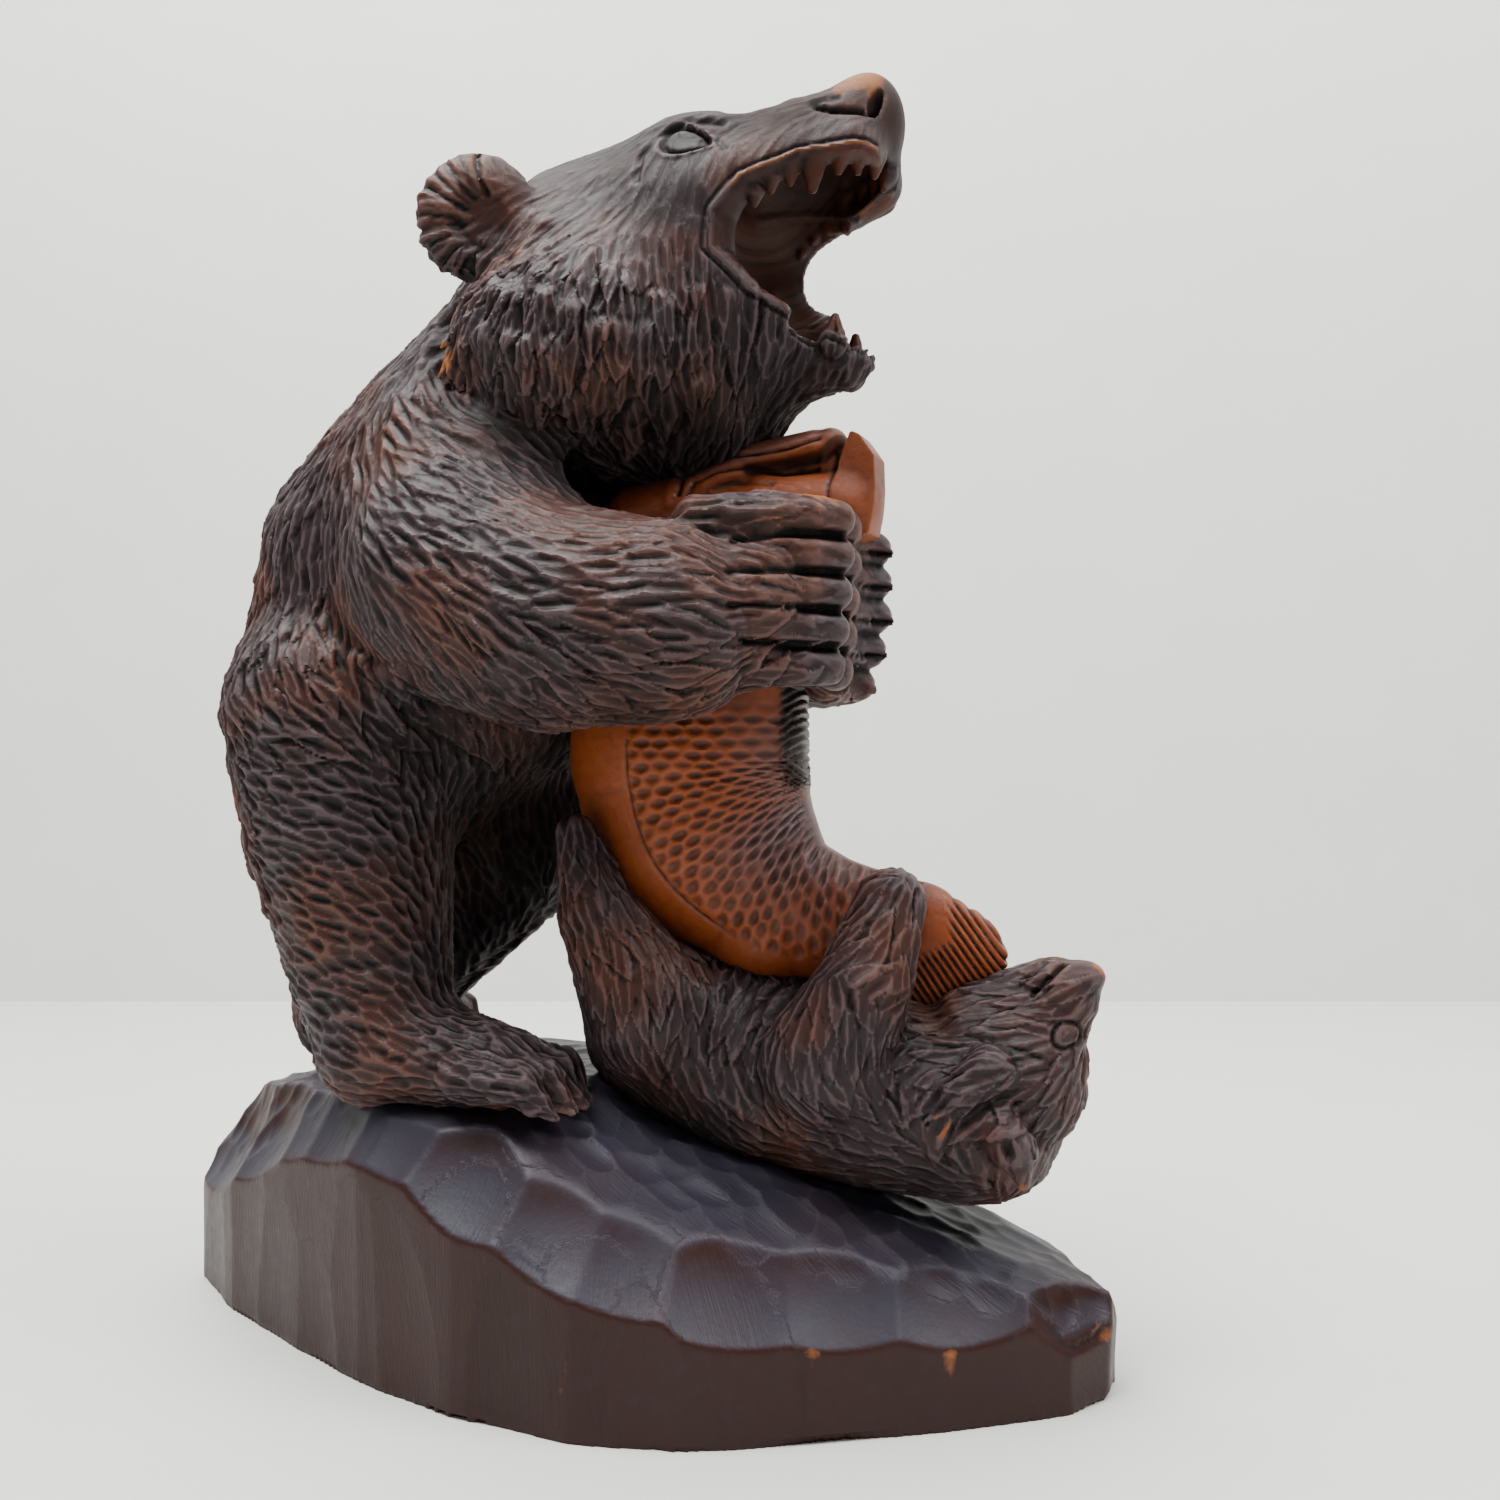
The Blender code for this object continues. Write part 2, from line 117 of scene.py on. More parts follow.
@dataclass(frozen=True)
class Limb:
    """A rounded limb through stations (x, y, z, radius), wide times as broad in Y."""

    stations: tuple
    wide: float = 1.0

    def box(self) -> tuple[Array, Array]:
        """Give the corners of the box round the limb.

        Returns:
            The lowest and the highest corner.
        """
        places = np.array(self.stations, float)
        reach = places[:, 3:4] * np.array([1.0, self.wide, 1.0])
        return (places[:, :3] - reach).min(0), (places[:, :3] + reach).max(0)

    def distance(self, x: Array, y: Array, z: Array) -> Array:
        """Measure the distance of points from the skin of the limb.

        Args:
            x: X of the points.
            y: Y of the points.
            z: Z of the points.

        Returns:
            The distance, negative inside.
        """
        best = None
        for (ax, ay, az, ar), (bx, by, bz, br) in zip(self.stations, self.stations[1:]):
            dx, dy, dz = bx - ax, by - ay, bz - az
            share = ((x - ax) * dx + (y - ay) * dy + (z - az) * dz) / (dx * dx + dy * dy + dz * dz)
            share = np.clip(share, 0.0, 1.0)
            flat = (y - ay - share * dy) / self.wide
            gap = np.sqrt((x - ax - share * dx) ** 2 + flat ** 2 + (z - az - share * dz) ** 2)
            gap -= ar + share * (br - ar)
            best = gap if best is None else np.minimum(best, gap)
        return best


@dataclass(frozen=True)
class Ball:
    """An ellipsoid, turned by degrees about X, Y and Z."""

    centre: tuple
    radii: tuple
    turn: tuple = (0.0, 0.0, 0.0)

    def box(self) -> tuple[Array, Array]:
        """Give the lowest and highest corner."""
        reach = max(self.radii) if any(self.turn) else np.array(self.radii, float)
        return np.array(self.centre, float) - reach, np.array(self.centre, float) + reach

    def distance(self, x: Array, y: Array, z: Array) -> Array:
        """Measure the distance of points from the skin of the ball.

        Args:
            x: X of the points.
            y: Y of the points.
            z: Z of the points.

        Returns:
            The distance, negative inside.
        """
        spin = np.array(Euler([math.radians(a) for a in self.turn]).to_matrix())
        x, y, z = x - self.centre[0], y - self.centre[1], z - self.centre[2]
        near = 0.0
        steep = 0.0
        for axis, radius in enumerate(self.radii):
            local = spin[0, axis] * x + spin[1, axis] * y + spin[2, axis] * z
            near = near + (local / radius) ** 2
            steep = steep + (local / radius ** 2) ** 2
        near = np.sqrt(near)
        return near * (near - 1.0) / np.maximum(np.sqrt(steep), 1e-6)


@dataclass(frozen=True)
class Wedge:
    """A block cut through from side to side, with a convex outline (x, z), run left-handed, at each end."""

    near: tuple
    far: tuple
    half: float
    deep: float = 70.0

    def box(self) -> tuple[Array, Array]:
        """Give the corners of the box round the wedge.

        Returns:
            The lowest and the highest corner.
        """
        ends = np.array(self.near + self.far, float)
        return (np.array([ends[:, 0].min(), -self.deep, ends[:, 1].min()]),
                np.array([ends[:, 0].max(), self.deep, ends[:, 1].max()]))

    def distance(self, x: Array, y: Array, z: Array) -> Array:
        """Measure the distance of points from the walls of the wedge.

        Args:
            x: X of the points.
            y: Y of the points.
            z: Z of the points.

        Returns:
            The distance, negative inside.
        """
        share = np.clip((y / self.half + 1.0) / 2.0, -0.4, 1.4)
        near = np.array(self.near, float)
        far = np.array(self.far, float)
        best = np.abs(y) - self.deep
        for start in range(len(near)):
            end = (start + 1) % len(near)
            ax = near[start, 0] + (far[start, 0] - near[start, 0]) * share
            az = near[start, 1] + (far[start, 1] - near[start, 1]) * share
            ex = near[end, 0] + (far[end, 0] - near[end, 0]) * share - ax
            ez = near[end, 1] + (far[end, 1] - near[end, 1]) * share - az
            long = np.sqrt(ex * ex + ez * ez)
            gap = ((x - ax) * ez - (z - az) * ex) / long
            best = np.maximum(best, gap)
        return best


Form = Limb | Ball | Wedge


class Clay:
    """A block of distances that forms are melted into and carved from."""

    def __init__(self, low: Station, high: Station, step: float) -> None:
        """Make an empty block.

        Args:
            low: Its lowest corner.
            high: Its highest corner.
            step: The size of a cell.
        """
        self.low = np.array(low, float)
        self.step = step
        size = np.ceil((np.array(high) - self.low) / step).astype(int) + 1
        self.field = np.full(tuple(size), FAR, np.float32)

    def window(self, low: Array, high: Array) -> tuple[tuple, list[Array]]:
        """Find the cells inside a box.

        Args:
            low: The lowest corner.
            high: The highest corner.

        Returns:
            The slices of the block, and the coordinates along each axis.
        """
        first = np.clip(np.floor((low - self.low) / self.step).astype(int), 0, self.field.shape)
        last = np.clip(np.ceil((high - self.low) / self.step).astype(int) + 1, 0, self.field.shape)
        cut = tuple(slice(a, b) for a, b in zip(first, last))
        lines = []
        for axis in range(3):
            shape = [1, 1, 1]
            shape[axis] = -1
            line = self.low[axis] + self.step * np.arange(first[axis], last[axis])
            lines.append(line.astype(np.float32).reshape(shape))
        return cut, lines

    def measure(self, form: Form, blend: float) -> tuple[tuple, Array]:
        """Measure the cells round a form.

        Args:
            form: The form.
            blend: The width of the fillet round it.

        Returns:
            The slices of the block, and the distance of their cells from the form.
        """
        low, high = form.box()
        pad = max(blend, ROOM) + 2 * self.step
        cut, lines = self.window(low - pad, high + pad)
        return cut, form.distance(*lines)

    def add(self, form: Form, blend: float) -> None:
        """Melt a form into the block, with a fillet about as wide as blend."""
        cut, gap = self.measure(form, blend)
        self.field[cut] = melt(self.field[cut], gap, blend)

    def carve(self, form: Form, blend: float) -> None:
        """Carve a form out of the block, with rounded rims."""
        cut, gap = self.measure(form, blend)
        self.field[cut] = -melt(-self.field[cut], gap, blend)

    def skin(self, name: str) -> "Skin":
        """Mesh the skin of the block.

        Args:
            name: The name that the mesh gets.

        Returns:
            The mesh, closed and facing out.
        """
        inside = self.field < 0
        nx, ny, nz = (n - 1 for n in inside.shape)
        count = np.zeros((nx, ny, nz), np.int8)
        for i in (0, 1):
            for j in (0, 1):
                for k in (0, 1):
                    count += inside[i:i + nx, j:j + ny, k:k + nz]
        cells = np.argwhere((count > 0) & (count < 8))
        number = np.full(count.shape, -1, np.int32)
        number[tuple(cells.T)] = np.arange(len(cells))
        total = np.zeros((len(cells), 3))
        hits = np.zeros(len(cells))
        for axis in range(3):
            second, third = (axis + 1) % 3, (axis + 2) % 3
            for p in (0, 1):
                for q in (0, 1):
                    start = cells.copy()
                    start[:, second] += p
                    start[:, third] += q
                    end = start.copy()
                    end[:, axis] += 1
                    a = self.field[tuple(start.T)]
                    b = self.field[tuple(end.T)]
                    cross = (a < 0) != (b < 0)
                    total[:, axis] += np.where(cross, a / np.where(cross, a - b, 1.0), 0.0)
                    total[:, second] += p * cross
                    total[:, third] += q * cross
                    hits += cross
        points = (cells + total / hits[:, None]) * self.step + self.low
        quads = []
        for axis in range(3):
            second, third = (axis + 1) % 3, (axis + 2) % 3
            lead = [slice(1, -1)] * 3
            lead[axis] = slice(0, -1)
            follow = list(lead)
            follow[axis] = slice(1, None)
            a = inside[tuple(lead)]
            edge = np.argwhere(a != inside[tuple(follow)])
            solid_first = a[tuple(edge.T)]
            edge[:, second] += 1
            edge[:, third] += 1
            ring = []
            for p, q in ((0, 0), (1, 0), (1, 1), (0, 1)):
                cell = edge.copy()
                cell[:, second] -= p
                cell[:, third] -= q
                ring.append(number[tuple(cell.T)])
            ring = np.stack(ring, axis=1)
            quads.append(np.where(solid_first[:, None], ring, ring[:, ::-1]))
        return Skin(name, points, np.concatenate(quads))


def melt(first: Array, second: Array, blend: float) -> Array:
    """Join two distance fields with a fillet."""
    share = np.clip(0.5 + 0.5 * (first - second) / blend, 0.0, 1.0)
    return first + (second - first) * share - blend * share * (1.0 - share)


def put_in_scene(name: str, data: bpy.types.ID) -> bpy.types.Object:
    """Make an object of a mesh, a light or a camera and put it in the scene.

    Args:
        name: The name of the object.
        data: The mesh, light or camera.

    Returns:
        The object.
    """
    made = bpy.data.objects.new(name, data)
    bpy.context.scene.collection.objects.link(made)
    return made


@dataclass
class Skin:
    """The mesh of one part of the carving, with marks on its points that the finish reads."""

    name: str
    points: Array
    faces: Array
    marks: dict[str, Array] = field(default_factory=dict)
    normals: Array = field(init=False)

    def __post_init__(self) -> None:
        """Work out the normals and start the marks."""
        self.refresh()
        for name in MARKS:
            self.marks[name] = np.zeros(len(self.points))

    def refresh(self) -> None:
        """Work out the normals again."""
        corners = [self.points[self.faces[:, i]] for i in (0, 1, -2, -1)]
        self.normals = unit(self.gather(np.cross(corners[2] - corners[0], corners[3] - corners[1])))

    def gather(self, faces: Array) -> Array:
        """Add up a value of the faces at each point.

        Args:
            faces: A row of values for each face.

        Returns:
            A row of sums for each point.
        """
        columns = []
        for axis in range(faces.shape[1]):
            share = np.repeat(faces[:, axis], self.faces.shape[1])
            columns.append(np.bincount(self.faces.ravel(), share, len(self.points)))
        return np.stack(columns, axis=1)

    def neighbours(self, values: Array) -> Array:
        """Average a value over the points joined to each point.

        Args:
            values: A value, or a row of them, for each point.

        Returns:
            The averages.
        """
        start = self.faces.ravel()
        end = np.roll(self.faces, -1, axis=1).ravel()
        one = np.bincount(start, minlength=len(self.points)) + np.bincount(end, minlength=len(self.points))
        columns = []
        for column in np.atleast_2d(values.T):
            total = np.bincount(start, column[end], len(self.points))
            total += np.bincount(end, column[start], len(self.points))
            columns.append(total / one)
        return np.stack(columns, axis=1) if values.ndim > 1 else columns[0]

    def raise_mark(self, name: str, values: Array) -> None:
        """Raise a mark to some values where it is lower."""
        self.marks[name] = np.maximum(self.marks[name], values)

    def relax(self, times: int) -> None:
        """Even out the mesh.

        Args:
            times: How often.
        """
        for _ in range(times):
            self.points += 0.5 * (self.neighbours(self.points) - self.points)
        self.refresh()

    def soft_normals(self, times: int = 8) -> Array:
        """Give the normals of the form under the cuts.

        Args:
            times: How often they are evened out.

        Returns:
            A normal for each point.
        """
        normals = self.normals
        for _ in range(times):
            normals = unit(self.neighbours(normals))
        return normals

    def push(self, height: Array, normals: Array | None = None) -> None:
        """Move the points along the normals."""
        self.points = self.points + height[:, None] * (self.normals if normals is None else normals)
        self.refresh()

    def bend(self, times: int) -> Array:
        """Tell how far each point stands out of its surroundings, in millimetres.

        Args:
            times: How many rings of points the surroundings are.

        Returns:
            A height for each point.
        """
        around = self.points
        for _ in range(times):
            around = self.neighbours(around)
        return ((self.points - around) * self.normals).sum(1)

    def settle(self, place: Station) -> tuple[Array, Array]:
        """Find the nearest point of the skin and its normal."""
        found = int(((self.points - np.array(place, float)) ** 2).sum(1).argmin())
        return self.points[found], self.normals[found]

    def thinned(self, limit: int, seams: Sequence[float] = ()) -> "Skin":
        """Drop points where the form is plain, so that the crisp ridges keep theirs.

        Args:
            limit: The most triangles to keep.
            seams: The heights of level lines of points laid round the skin, to part it there.

        Returns:
            The same skin in triangles.
        """
        rough = put_in_scene(self.name, self.to_mesh())
        thin_out = rough.modifiers.new("thin out", "DECIMATE")
        thin_out.ratio = min(1.0, limit / self.triangles())
        thin_out.use_collapse_triangulate = True
        mesh = bpy.data.meshes.new_from_object(rough.evaluated_get(bpy.context.evaluated_depsgraph_get()))
        bpy.data.objects.remove(rough)
        form = bmesh.new()
        form.from_mesh(mesh)
        for seam in seams:
            bmesh.ops.bisect_plane(form, geom=form.verts[:] + form.edges[:] + form.faces[:], dist=1e-6,
                                   plane_co=(0, 0, seam * MM), plane_no=(0, 0, 1))
        bmesh.ops.triangulate(form, faces=form.faces[:])
        form.to_mesh(mesh)
        form.free()
        points = np.empty(3 * len(mesh.vertices), np.float32)
        mesh.vertices.foreach_get("co", points)
        faces = np.empty(len(mesh.loops), np.int32)
        mesh.loops.foreach_get("vertex_index", faces)
        made = Skin(self.name, points.reshape(-1, 3).astype(float) / MM,
                    faces.reshape(-1, 3).astype(np.int64))
        for name in MARKS:
            values = np.empty(len(made.points), np.float32)
            mesh.attributes[name].data.foreach_get("value", values)
            made.marks[name] = values.astype(float)
        bpy.data.meshes.remove(mesh)
        return made

    def part(self, name: str, keep: Array) -> "Skin":
        """Cut a piece off a skin of triangles and close it with lids.

        Args:
            name: The name of the piece.
            keep: Which faces go with it.

        Returns:
            The piece.
        """
        used, small = np.unique(self.faces[keep], return_inverse=True)
        faces = small.reshape(-1, 3)
        start, end = faces.ravel(), np.roll(faces, -1, axis=1).ravel()
        size = len(used)
        rim = np.flatnonzero(~np.isin(start * size + end, end * size + start))
        after = dict(zip(end[rim].tolist(), start[rim].tolist()))
        points, lids = [self.points[used]], []
        while after:
            loop = [next(iter(after))]
            while after.get(loop[-1], loop[0]) != loop[0]:
                loop.append(after.pop(loop[-1]))
            after.pop(loop[-1], None)
            centre = size + len(points) - 1
            points.append(self.points[used[loop]].mean(0, keepdims=True))
            lids += [(a, b, centre) for a, b in zip(loop, loop[1:] + loop[:1])]
        made = Skin(name, np.concatenate(points), np.concatenate([faces, np.array(lids, int).reshape(-1, 3)]))
        for mark, values in self.marks.items():
            made.marks[mark] = np.concatenate([values[used], np.zeros(len(points) - 1)])
        return made

    def triangles(self) -> int:
        """Count the triangles."""
        return (self.faces.shape[1] - 2) * len(self.faces)

    def to_mesh(self) -> bpy.types.Mesh:
        """Make the Blender mesh of the skin, with its marks.

        Returns:
            The mesh.
        """
        corners = self.faces.shape[1]
        mesh = bpy.data.meshes.new(self.name)
        mesh.vertices.add(len(self.points))
        mesh.vertices.foreach_set("co", (self.points * MM).astype(np.float32).ravel())
        mesh.loops.add(self.faces.size)
        mesh.loops.foreach_set("vertex_index", self.faces.astype(np.int32).ravel())
        mesh.polygons.add(len(self.faces))
        mesh.polygons.foreach_set("loop_start", np.arange(0, self.faces.size, corners, dtype=np.int32))
        mesh.polygons.foreach_set("use_smooth", np.ones(len(self.faces), bool))
        mesh.update(calc_edges=True)
        for name, values in self.marks.items():
            mark = mesh.attributes.new(name, "FLOAT", "POINT")
            mark.data.foreach_set("value", values.astype(np.float32))
        return mesh

    def to_object(self, finish: bpy.types.Material) -> bpy.types.Object:
        """Make the Blender object of the skin, its ridges crisp.

        Args:
            finish: The material it gets.

        Returns:
            The object, riding on the solid and standing for it.
        """
        mesh = self.to_mesh()
        mesh.set_sharp_from_angle(angle=math.radians(CRISP))
        mesh.materials.append(finish)
        piece = put_in_scene(self.name, mesh)
        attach(piece, "root")
        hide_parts(NODE)
        LOG.info("%s: %d triangles", self.name, self.triangles())
        return piece


@dataclass(frozen=True)
class Comb:
    """The way the fur lies: rows of place, direction and reach, given for the near side."""

    rows: tuple

    def lie(self, places: Array) -> Array:
        """Give the direction of the fur at some places.

        Args:
            places: Points in millimetres.

        Returns:
            A direction for each, not yet laid in the surface.
        """
        rows = np.array(self.rows, float)
        folded = places.copy()
        folded[:, 1] = -np.abs(folded[:, 1])
        gap = ((folded[:, None, :] - rows[None, :, :3]) ** 2).sum(2)
        weight = np.exp(-gap / (2 * rows[None, :, 6] ** 2)) + 1e-9 / (1.0 + gap)
        flow = weight @ unit(rows[:, 3:6])
        flow[:, 1] *= np.where(places[:, 1] > 0, -1.0, 1.0)
        return unit(flow)


class Cut(Enum):
    """What a stroke of the gouge leaves."""

    SCOOP = "a hollow with crisp ridges round it"
    LOCK = "a raised pointed lock that lies over the next"


@dataclass(frozen=True)
class Pass:
    """One pass of the gouge over a skin, sizes in millimetres.

    The share tells how deep it cuts at each point. The strokes wander off the comb by this many radians,
    keep these shares of their length and width apart, and cut only skin that faces them by this much.
    """

    cut: Cut
    length: float
    width: float
    depth: float
    seed: int
    share: Callable[[Array], Array]
    wander: float = 0.14
    gaps: tuple = (0.40, 0.50)
    facing: float = 0.3


@dataclass
class Strokes:
    """Strokes laid on a skin."""

    place: Array
    along: Array
    normal: Array
    length: Array
    width: Array
    depth: Array
    tone: Array

    def some(self, chosen: Array) -> "Strokes":
        """Give some of the strokes."""
        return Strokes(*(getattr(self, part.name)[chosen] for part in fields(self)))


def scatter(points: Array, spacing: float, chance: np.random.Generator) -> Array:
    """Pick one point at random in every cell of a grid.

    Args:
        points: The points to pick from.
        spacing: The size of a cell.
        chance: The source of chance.

    Returns:
        The numbers of the points picked.
    """
    order = chance.permutation(len(points))
    cells = np.floor(points[order] / spacing + chance.random(3)).astype(np.int64)
    cells -= cells.min(0)
    size = cells.max(0) + 1
    keys = (cells[:, 0] * size[1] + cells[:, 1]) * size[2] + cells[:, 2]
    _, first = np.unique(keys, return_index=True)
    return order[first]


def pairs(points: Array, places: Array, reach: float) -> Iterator[tuple[Array, Array]]:
    """Pair points with the places near them.

    Args:
        points: The points.
        places: The places.
        reach: How far apart the two may be.

    Yields:
        The numbers of points and places, pair by pair.
    """
    low = np.minimum(points.min(0), places.min(0)) - 2 * reach
    cell = np.floor((places - low) / reach).astype(np.int64)
    home = np.floor((points - low) / reach).astype(np.int64)
    size = np.maximum(cell.max(0), home.max(0)) + 3
    keys = (cell[:, 0] * size[1] + cell[:, 1]) * size[2] + cell[:, 2]
    order = np.argsort(keys, kind="stable")
    keys = keys[order]
    for i in (-1, 0, 1):
        for j in (-1, 0, 1):
            for k in (-1, 0, 1):
                want = ((home[:, 0] + i) * size[1] + home[:, 1] + j) * size[2] + home[:, 2] + k
                first = np.searchsorted(keys, want, "left")
                count = np.searchsorted(keys, want, "right") - first
                total = int(count.sum())
                if not total:
                    continue
                who = np.repeat(np.arange(len(points)), count)
                start = np.repeat(first - np.concatenate([[0], np.cumsum(count)[:-1]]), count)
                yield who, order[start + np.arange(total)]


def thin(strokes: Strokes, gaps: tuple[float, float], chance: np.random.Generator) -> Array:
    """Drop strokes until no two lie closer than the gaps along and across them.

    Args:
        strokes: The strokes.
        gaps: The smallest gap along a stroke, and across it.
        chance: The source of chance.

    Returns:
        The numbers of the strokes that stay.
    """
    rank = chance.random(len(strokes.place))
    across = np.cross(strokes.normal, strokes.along)
    ones, others = [], []
    for who, which in pairs(strokes.place, strokes.place, gaps[0]):
        gap = strokes.place[which] - strokes.place[who]
        near = ((gap * strokes.along[who]).sum(1) / gaps[0]) ** 2
        near += ((gap * across[who]).sum(1) / gaps[1]) ** 2
        near += ((gap * strokes.normal[who]).sum(1) / gaps[0]) ** 2
        close = (near < 1) & (who != which)
        ones += [who[close], which[close]]
        others += [which[close], who[close]]
    one, other = np.concatenate(ones), np.concatenate(others)
    open_still = np.ones(len(rank), bool)
    kept = np.zeros(len(rank), bool)
    while open_still.any():
        live = open_still[one] & open_still[other]
        one, other = one[live], other[live]
        best = np.full(len(rank), -1.0)
        np.maximum.at(best, one, rank[other])
        won = open_still & (rank > best)
        kept |= won
        open_still &= ~won
        open_still[other[won[one]]] = False
    return np.flatnonzero(kept)


def stroke_heights(skin: Skin, normals: Array, strokes: Strokes, work: Pass) -> dict[str, Array]:
    """Work out what the strokes leave at each point.

    Args:
        skin: The skin.
        normals: The normals of the form.
        strokes: The strokes.
        work: The pass that they belong to.

    Returns:
        The height, the tone of the stroke that rules, and the place along and across it.
    """
    across = np.cross(strokes.normal, strokes.along)
    reach = float(np.sqrt(strokes.length.max() ** 2 + strokes.width.max() ** 2) / 2)
    found: list[list[Array]] = [[], [], [], [], []]
    for who, which in pairs(skin.points, strokes.place, reach):
        gap = (skin.points[who] - strokes.place[which]).astype(np.float32)
        s = (gap * strokes.along[which]).sum(1) * 2 / strokes.length[which]
        q = (gap * across[which]).sum(1) * 2 / strokes.width[which]
        facing = (normals[who] * strokes.normal[which]).sum(1)
        deep = np.abs((gap * strokes.normal[which]).sum(1))
        if work.cut is Cut.SCOOP:
            skew = np.where(s < 0.25, (s - 0.25) / 1.25, (s - 0.25) / 0.75)
            near = skew * skew + q * q
            keep = (near < 1) & (facing > work.facing) & (deep < strokes.length[which] / 2)
            who, which, s, q = who[keep], which[keep], s[keep], q[keep]
            height = strokes.depth[which] * (near[keep] - 1) * (1 + 1.2 * (strokes.tone[which] - 0.5) * q)
        else:
            shape = np.where(s < 0, 0.65 + 0.35 * (s + 1), 1 - np.clip(s, 0, 1) ** 1.6)
            edge = (shape - np.abs(q)) * strokes.width[which] / 2
            keep = (edge > -0.3) & (s > -1) & (s < 1) & (facing > work.facing)
            keep &= deep < strokes.length[which] / 2
            who, which, s, q, edge = who[keep], which[keep], s[keep], q[keep], edge[keep]
            rise = 0.1 + 0.9 * (s + 1) / 2 + 0.2 * q * q
            height = -strokes.depth[which] * (rise - 1.2 * np.clip(0.5 - edge, 0, 0.8))
        for store, value in zip(found, (who, which, s, q, height)):
            store.append(value)
    who, which, s, q, height = (np.concatenate(part) for part in found)
    order = np.lexsort((height, who))
    who, which, s, q, height = who[order], which[order], s[order], q[order], height[order]
    first = np.concatenate([[True], who[1:] != who[:-1]])
    made = {name: np.zeros(len(skin.points)) for name in ("height", "along", "across", "tone")}
    spot = who[first]
    made["height"][spot] = height[first] if work.cut is Cut.SCOOP else np.maximum(-height[first], 0)
    made["along"][spot] = (s * strokes.length[which] / 2)[first]
    made["across"][spot] = (q * strokes.width[which] / 2)[first]
    made["tone"][spot] = strokes.tone[which][first]
    return made


def gouge(skin: Skin, comb: Comb, work: Pass) -> None:
    """Run one pass of strokes over a skin and mark what it leaves.

    Args:
        skin: The skin.
        comb: The way the fur lies.
        work: The pass.
    """
    chance = np.random.default_rng(work.seed)
    normals = skin.soft_normals()
    seeds = scatter(skin.points, work.width * TRIED, chance)
    power = work.share(skin.points[seeds])
    power = power * (1 - PLAINER * smoothstep(10, 50, skin.points[seeds, 1]))
    seeds, power = seeds[power > FAINT], power[power > FAINT]
    place, normal = skin.points[seeds], normals[seeds]
    along = comb.lie(place)
    along = unit(along - normal * (along * normal).sum(1, keepdims=True))
    along = unit(along + np.cross(normal, along) * chance.normal(0, work.wander, len(seeds))[:, None])
    strokes = Strokes(
        place, along, normal,
        work.length * chance.uniform(0.75, 1.25, len(seeds)),
        work.width * chance.uniform(0.8, 1.25, len(seeds)),
        work.depth * power * chance.uniform(0.7, 1.3, len(seeds)),
        chance.random(len(seeds)),
    )
    gaps = (work.length * work.gaps[0], work.width * work.gaps[1])
    strokes = strokes.some(thin(strokes, gaps, chance))
    made = stroke_heights(skin, normals, strokes, work)
    skin.push(made["height"], normals)
    for name in ("tone", "along", "across"):
        skin.marks[name] = np.where(made["height"] != 0, made[name], skin.marks[name])


def line_gap(places: Array, path: Sequence) -> Array:
    """Measure how far flat places are from a path of flat points.

    Args:
        places: The places.
        path: The points of the path.

    Returns:
        A distance for each place.
    """
    best = np.full(len(places), 1e9)
    knots = np.array(path, float)
    for a, b in zip(knots, knots[1:]):
        share = np.clip(((places - a) @ (b - a)) / max(float((b - a) @ (b - a)), 1e-9), 0, 1)
        best = np.minimum(best, np.linalg.norm(places - a - share[:, None] * (b - a), axis=1))
    return best


def incise(skin: Skin, lines: Sequence) -> None:
    """Cut lines into both sides of a skin.

    Args:
        skin: The skin.
        lines: Rows of path (x, z), width, depth and stain; a negative depth raises a bead.
    """
    flat = skin.points[:, (0, 2)]
    sideways = smoothstep(0.12, 0.4, np.abs(skin.normals[:, 1]))
    height = np.zeros(len(flat))
    for path, width, depth, stain in lines:
        bite = peak(line_gap(flat, path), 0.0, width) * sideways
        height -= depth * bite
        skin.raise_mark("stained", stain * bite)
    skin.push(height, skin.soft_normals(3))


def both_sides(spots: Iterable[tuple]) -> list[tuple]:
    """Repeat spots, given for the far side, on the near side."""
    return [(x, side * y, z, reach, strength) for x, y, z, reach, strength in spots for side in SIDES]


def wear_and_shade(skin: Skin, spots: Iterable[tuple], mark: str = "wear") -> None:
    """Mark spots of wear, where hands and knocks have worn the stain off, and spots of painted shade.

    Args:
        skin: The skin.
        spots: Rows of x, y, z, reach and strength.
        mark: The mark that is set: wear, or dark for painted shade.
    """
    for x, y, z, reach, strength in spots:
        gap = ((skin.points - np.array([x, y, z])) ** 2).sum(1)
        skin.raise_mark(mark, strength * np.exp(-gap / (2 * reach ** 2)))


def weather(skin: Skin, fine: float = 1.0) -> None:
    """Turn the bends of the surface into worn ridges with a painted highlight, and hollows darkened with
    painted shade.

    Args:
        skin: The skin.
        fine: How strongly the bends tell.
    """
    sharp = skin.bend(2)
    broad = skin.bend(14)
    skin.marks["relief"] = np.clip(0.5 + fine * (sharp * 2.2 + broad * 0.15), 0, 1)
    # Painted shade: broad hollows raise the dark mark.
    skin.raise_mark("dark", smoothstep(0.4, 2.4, -broad))


def node(tree: bpy.types.NodeTree, kind: str, inputs: dict, out: int | str = 0,
         **settings: object) -> bpy.types.NodeSocket:
    """Add a node with its settings, values and links.

    Args:
        tree: The node tree.
        kind: The kind of node.
        inputs: A value, or the output to link, for each input by name or number.
        out: The output that is wanted.
        **settings: The node's own settings.

    Returns:
        That output.
    """
    made = tree.nodes.new(kind)
    for name, value in settings.items():
        setattr(made, name, value)
    for name, value in inputs.items():
        if isinstance(value, bpy.types.NodeSocket):
            tree.links.new(value, made.inputs[name])
        else:
            made.inputs[name].default_value = value
    return made.outputs[out]


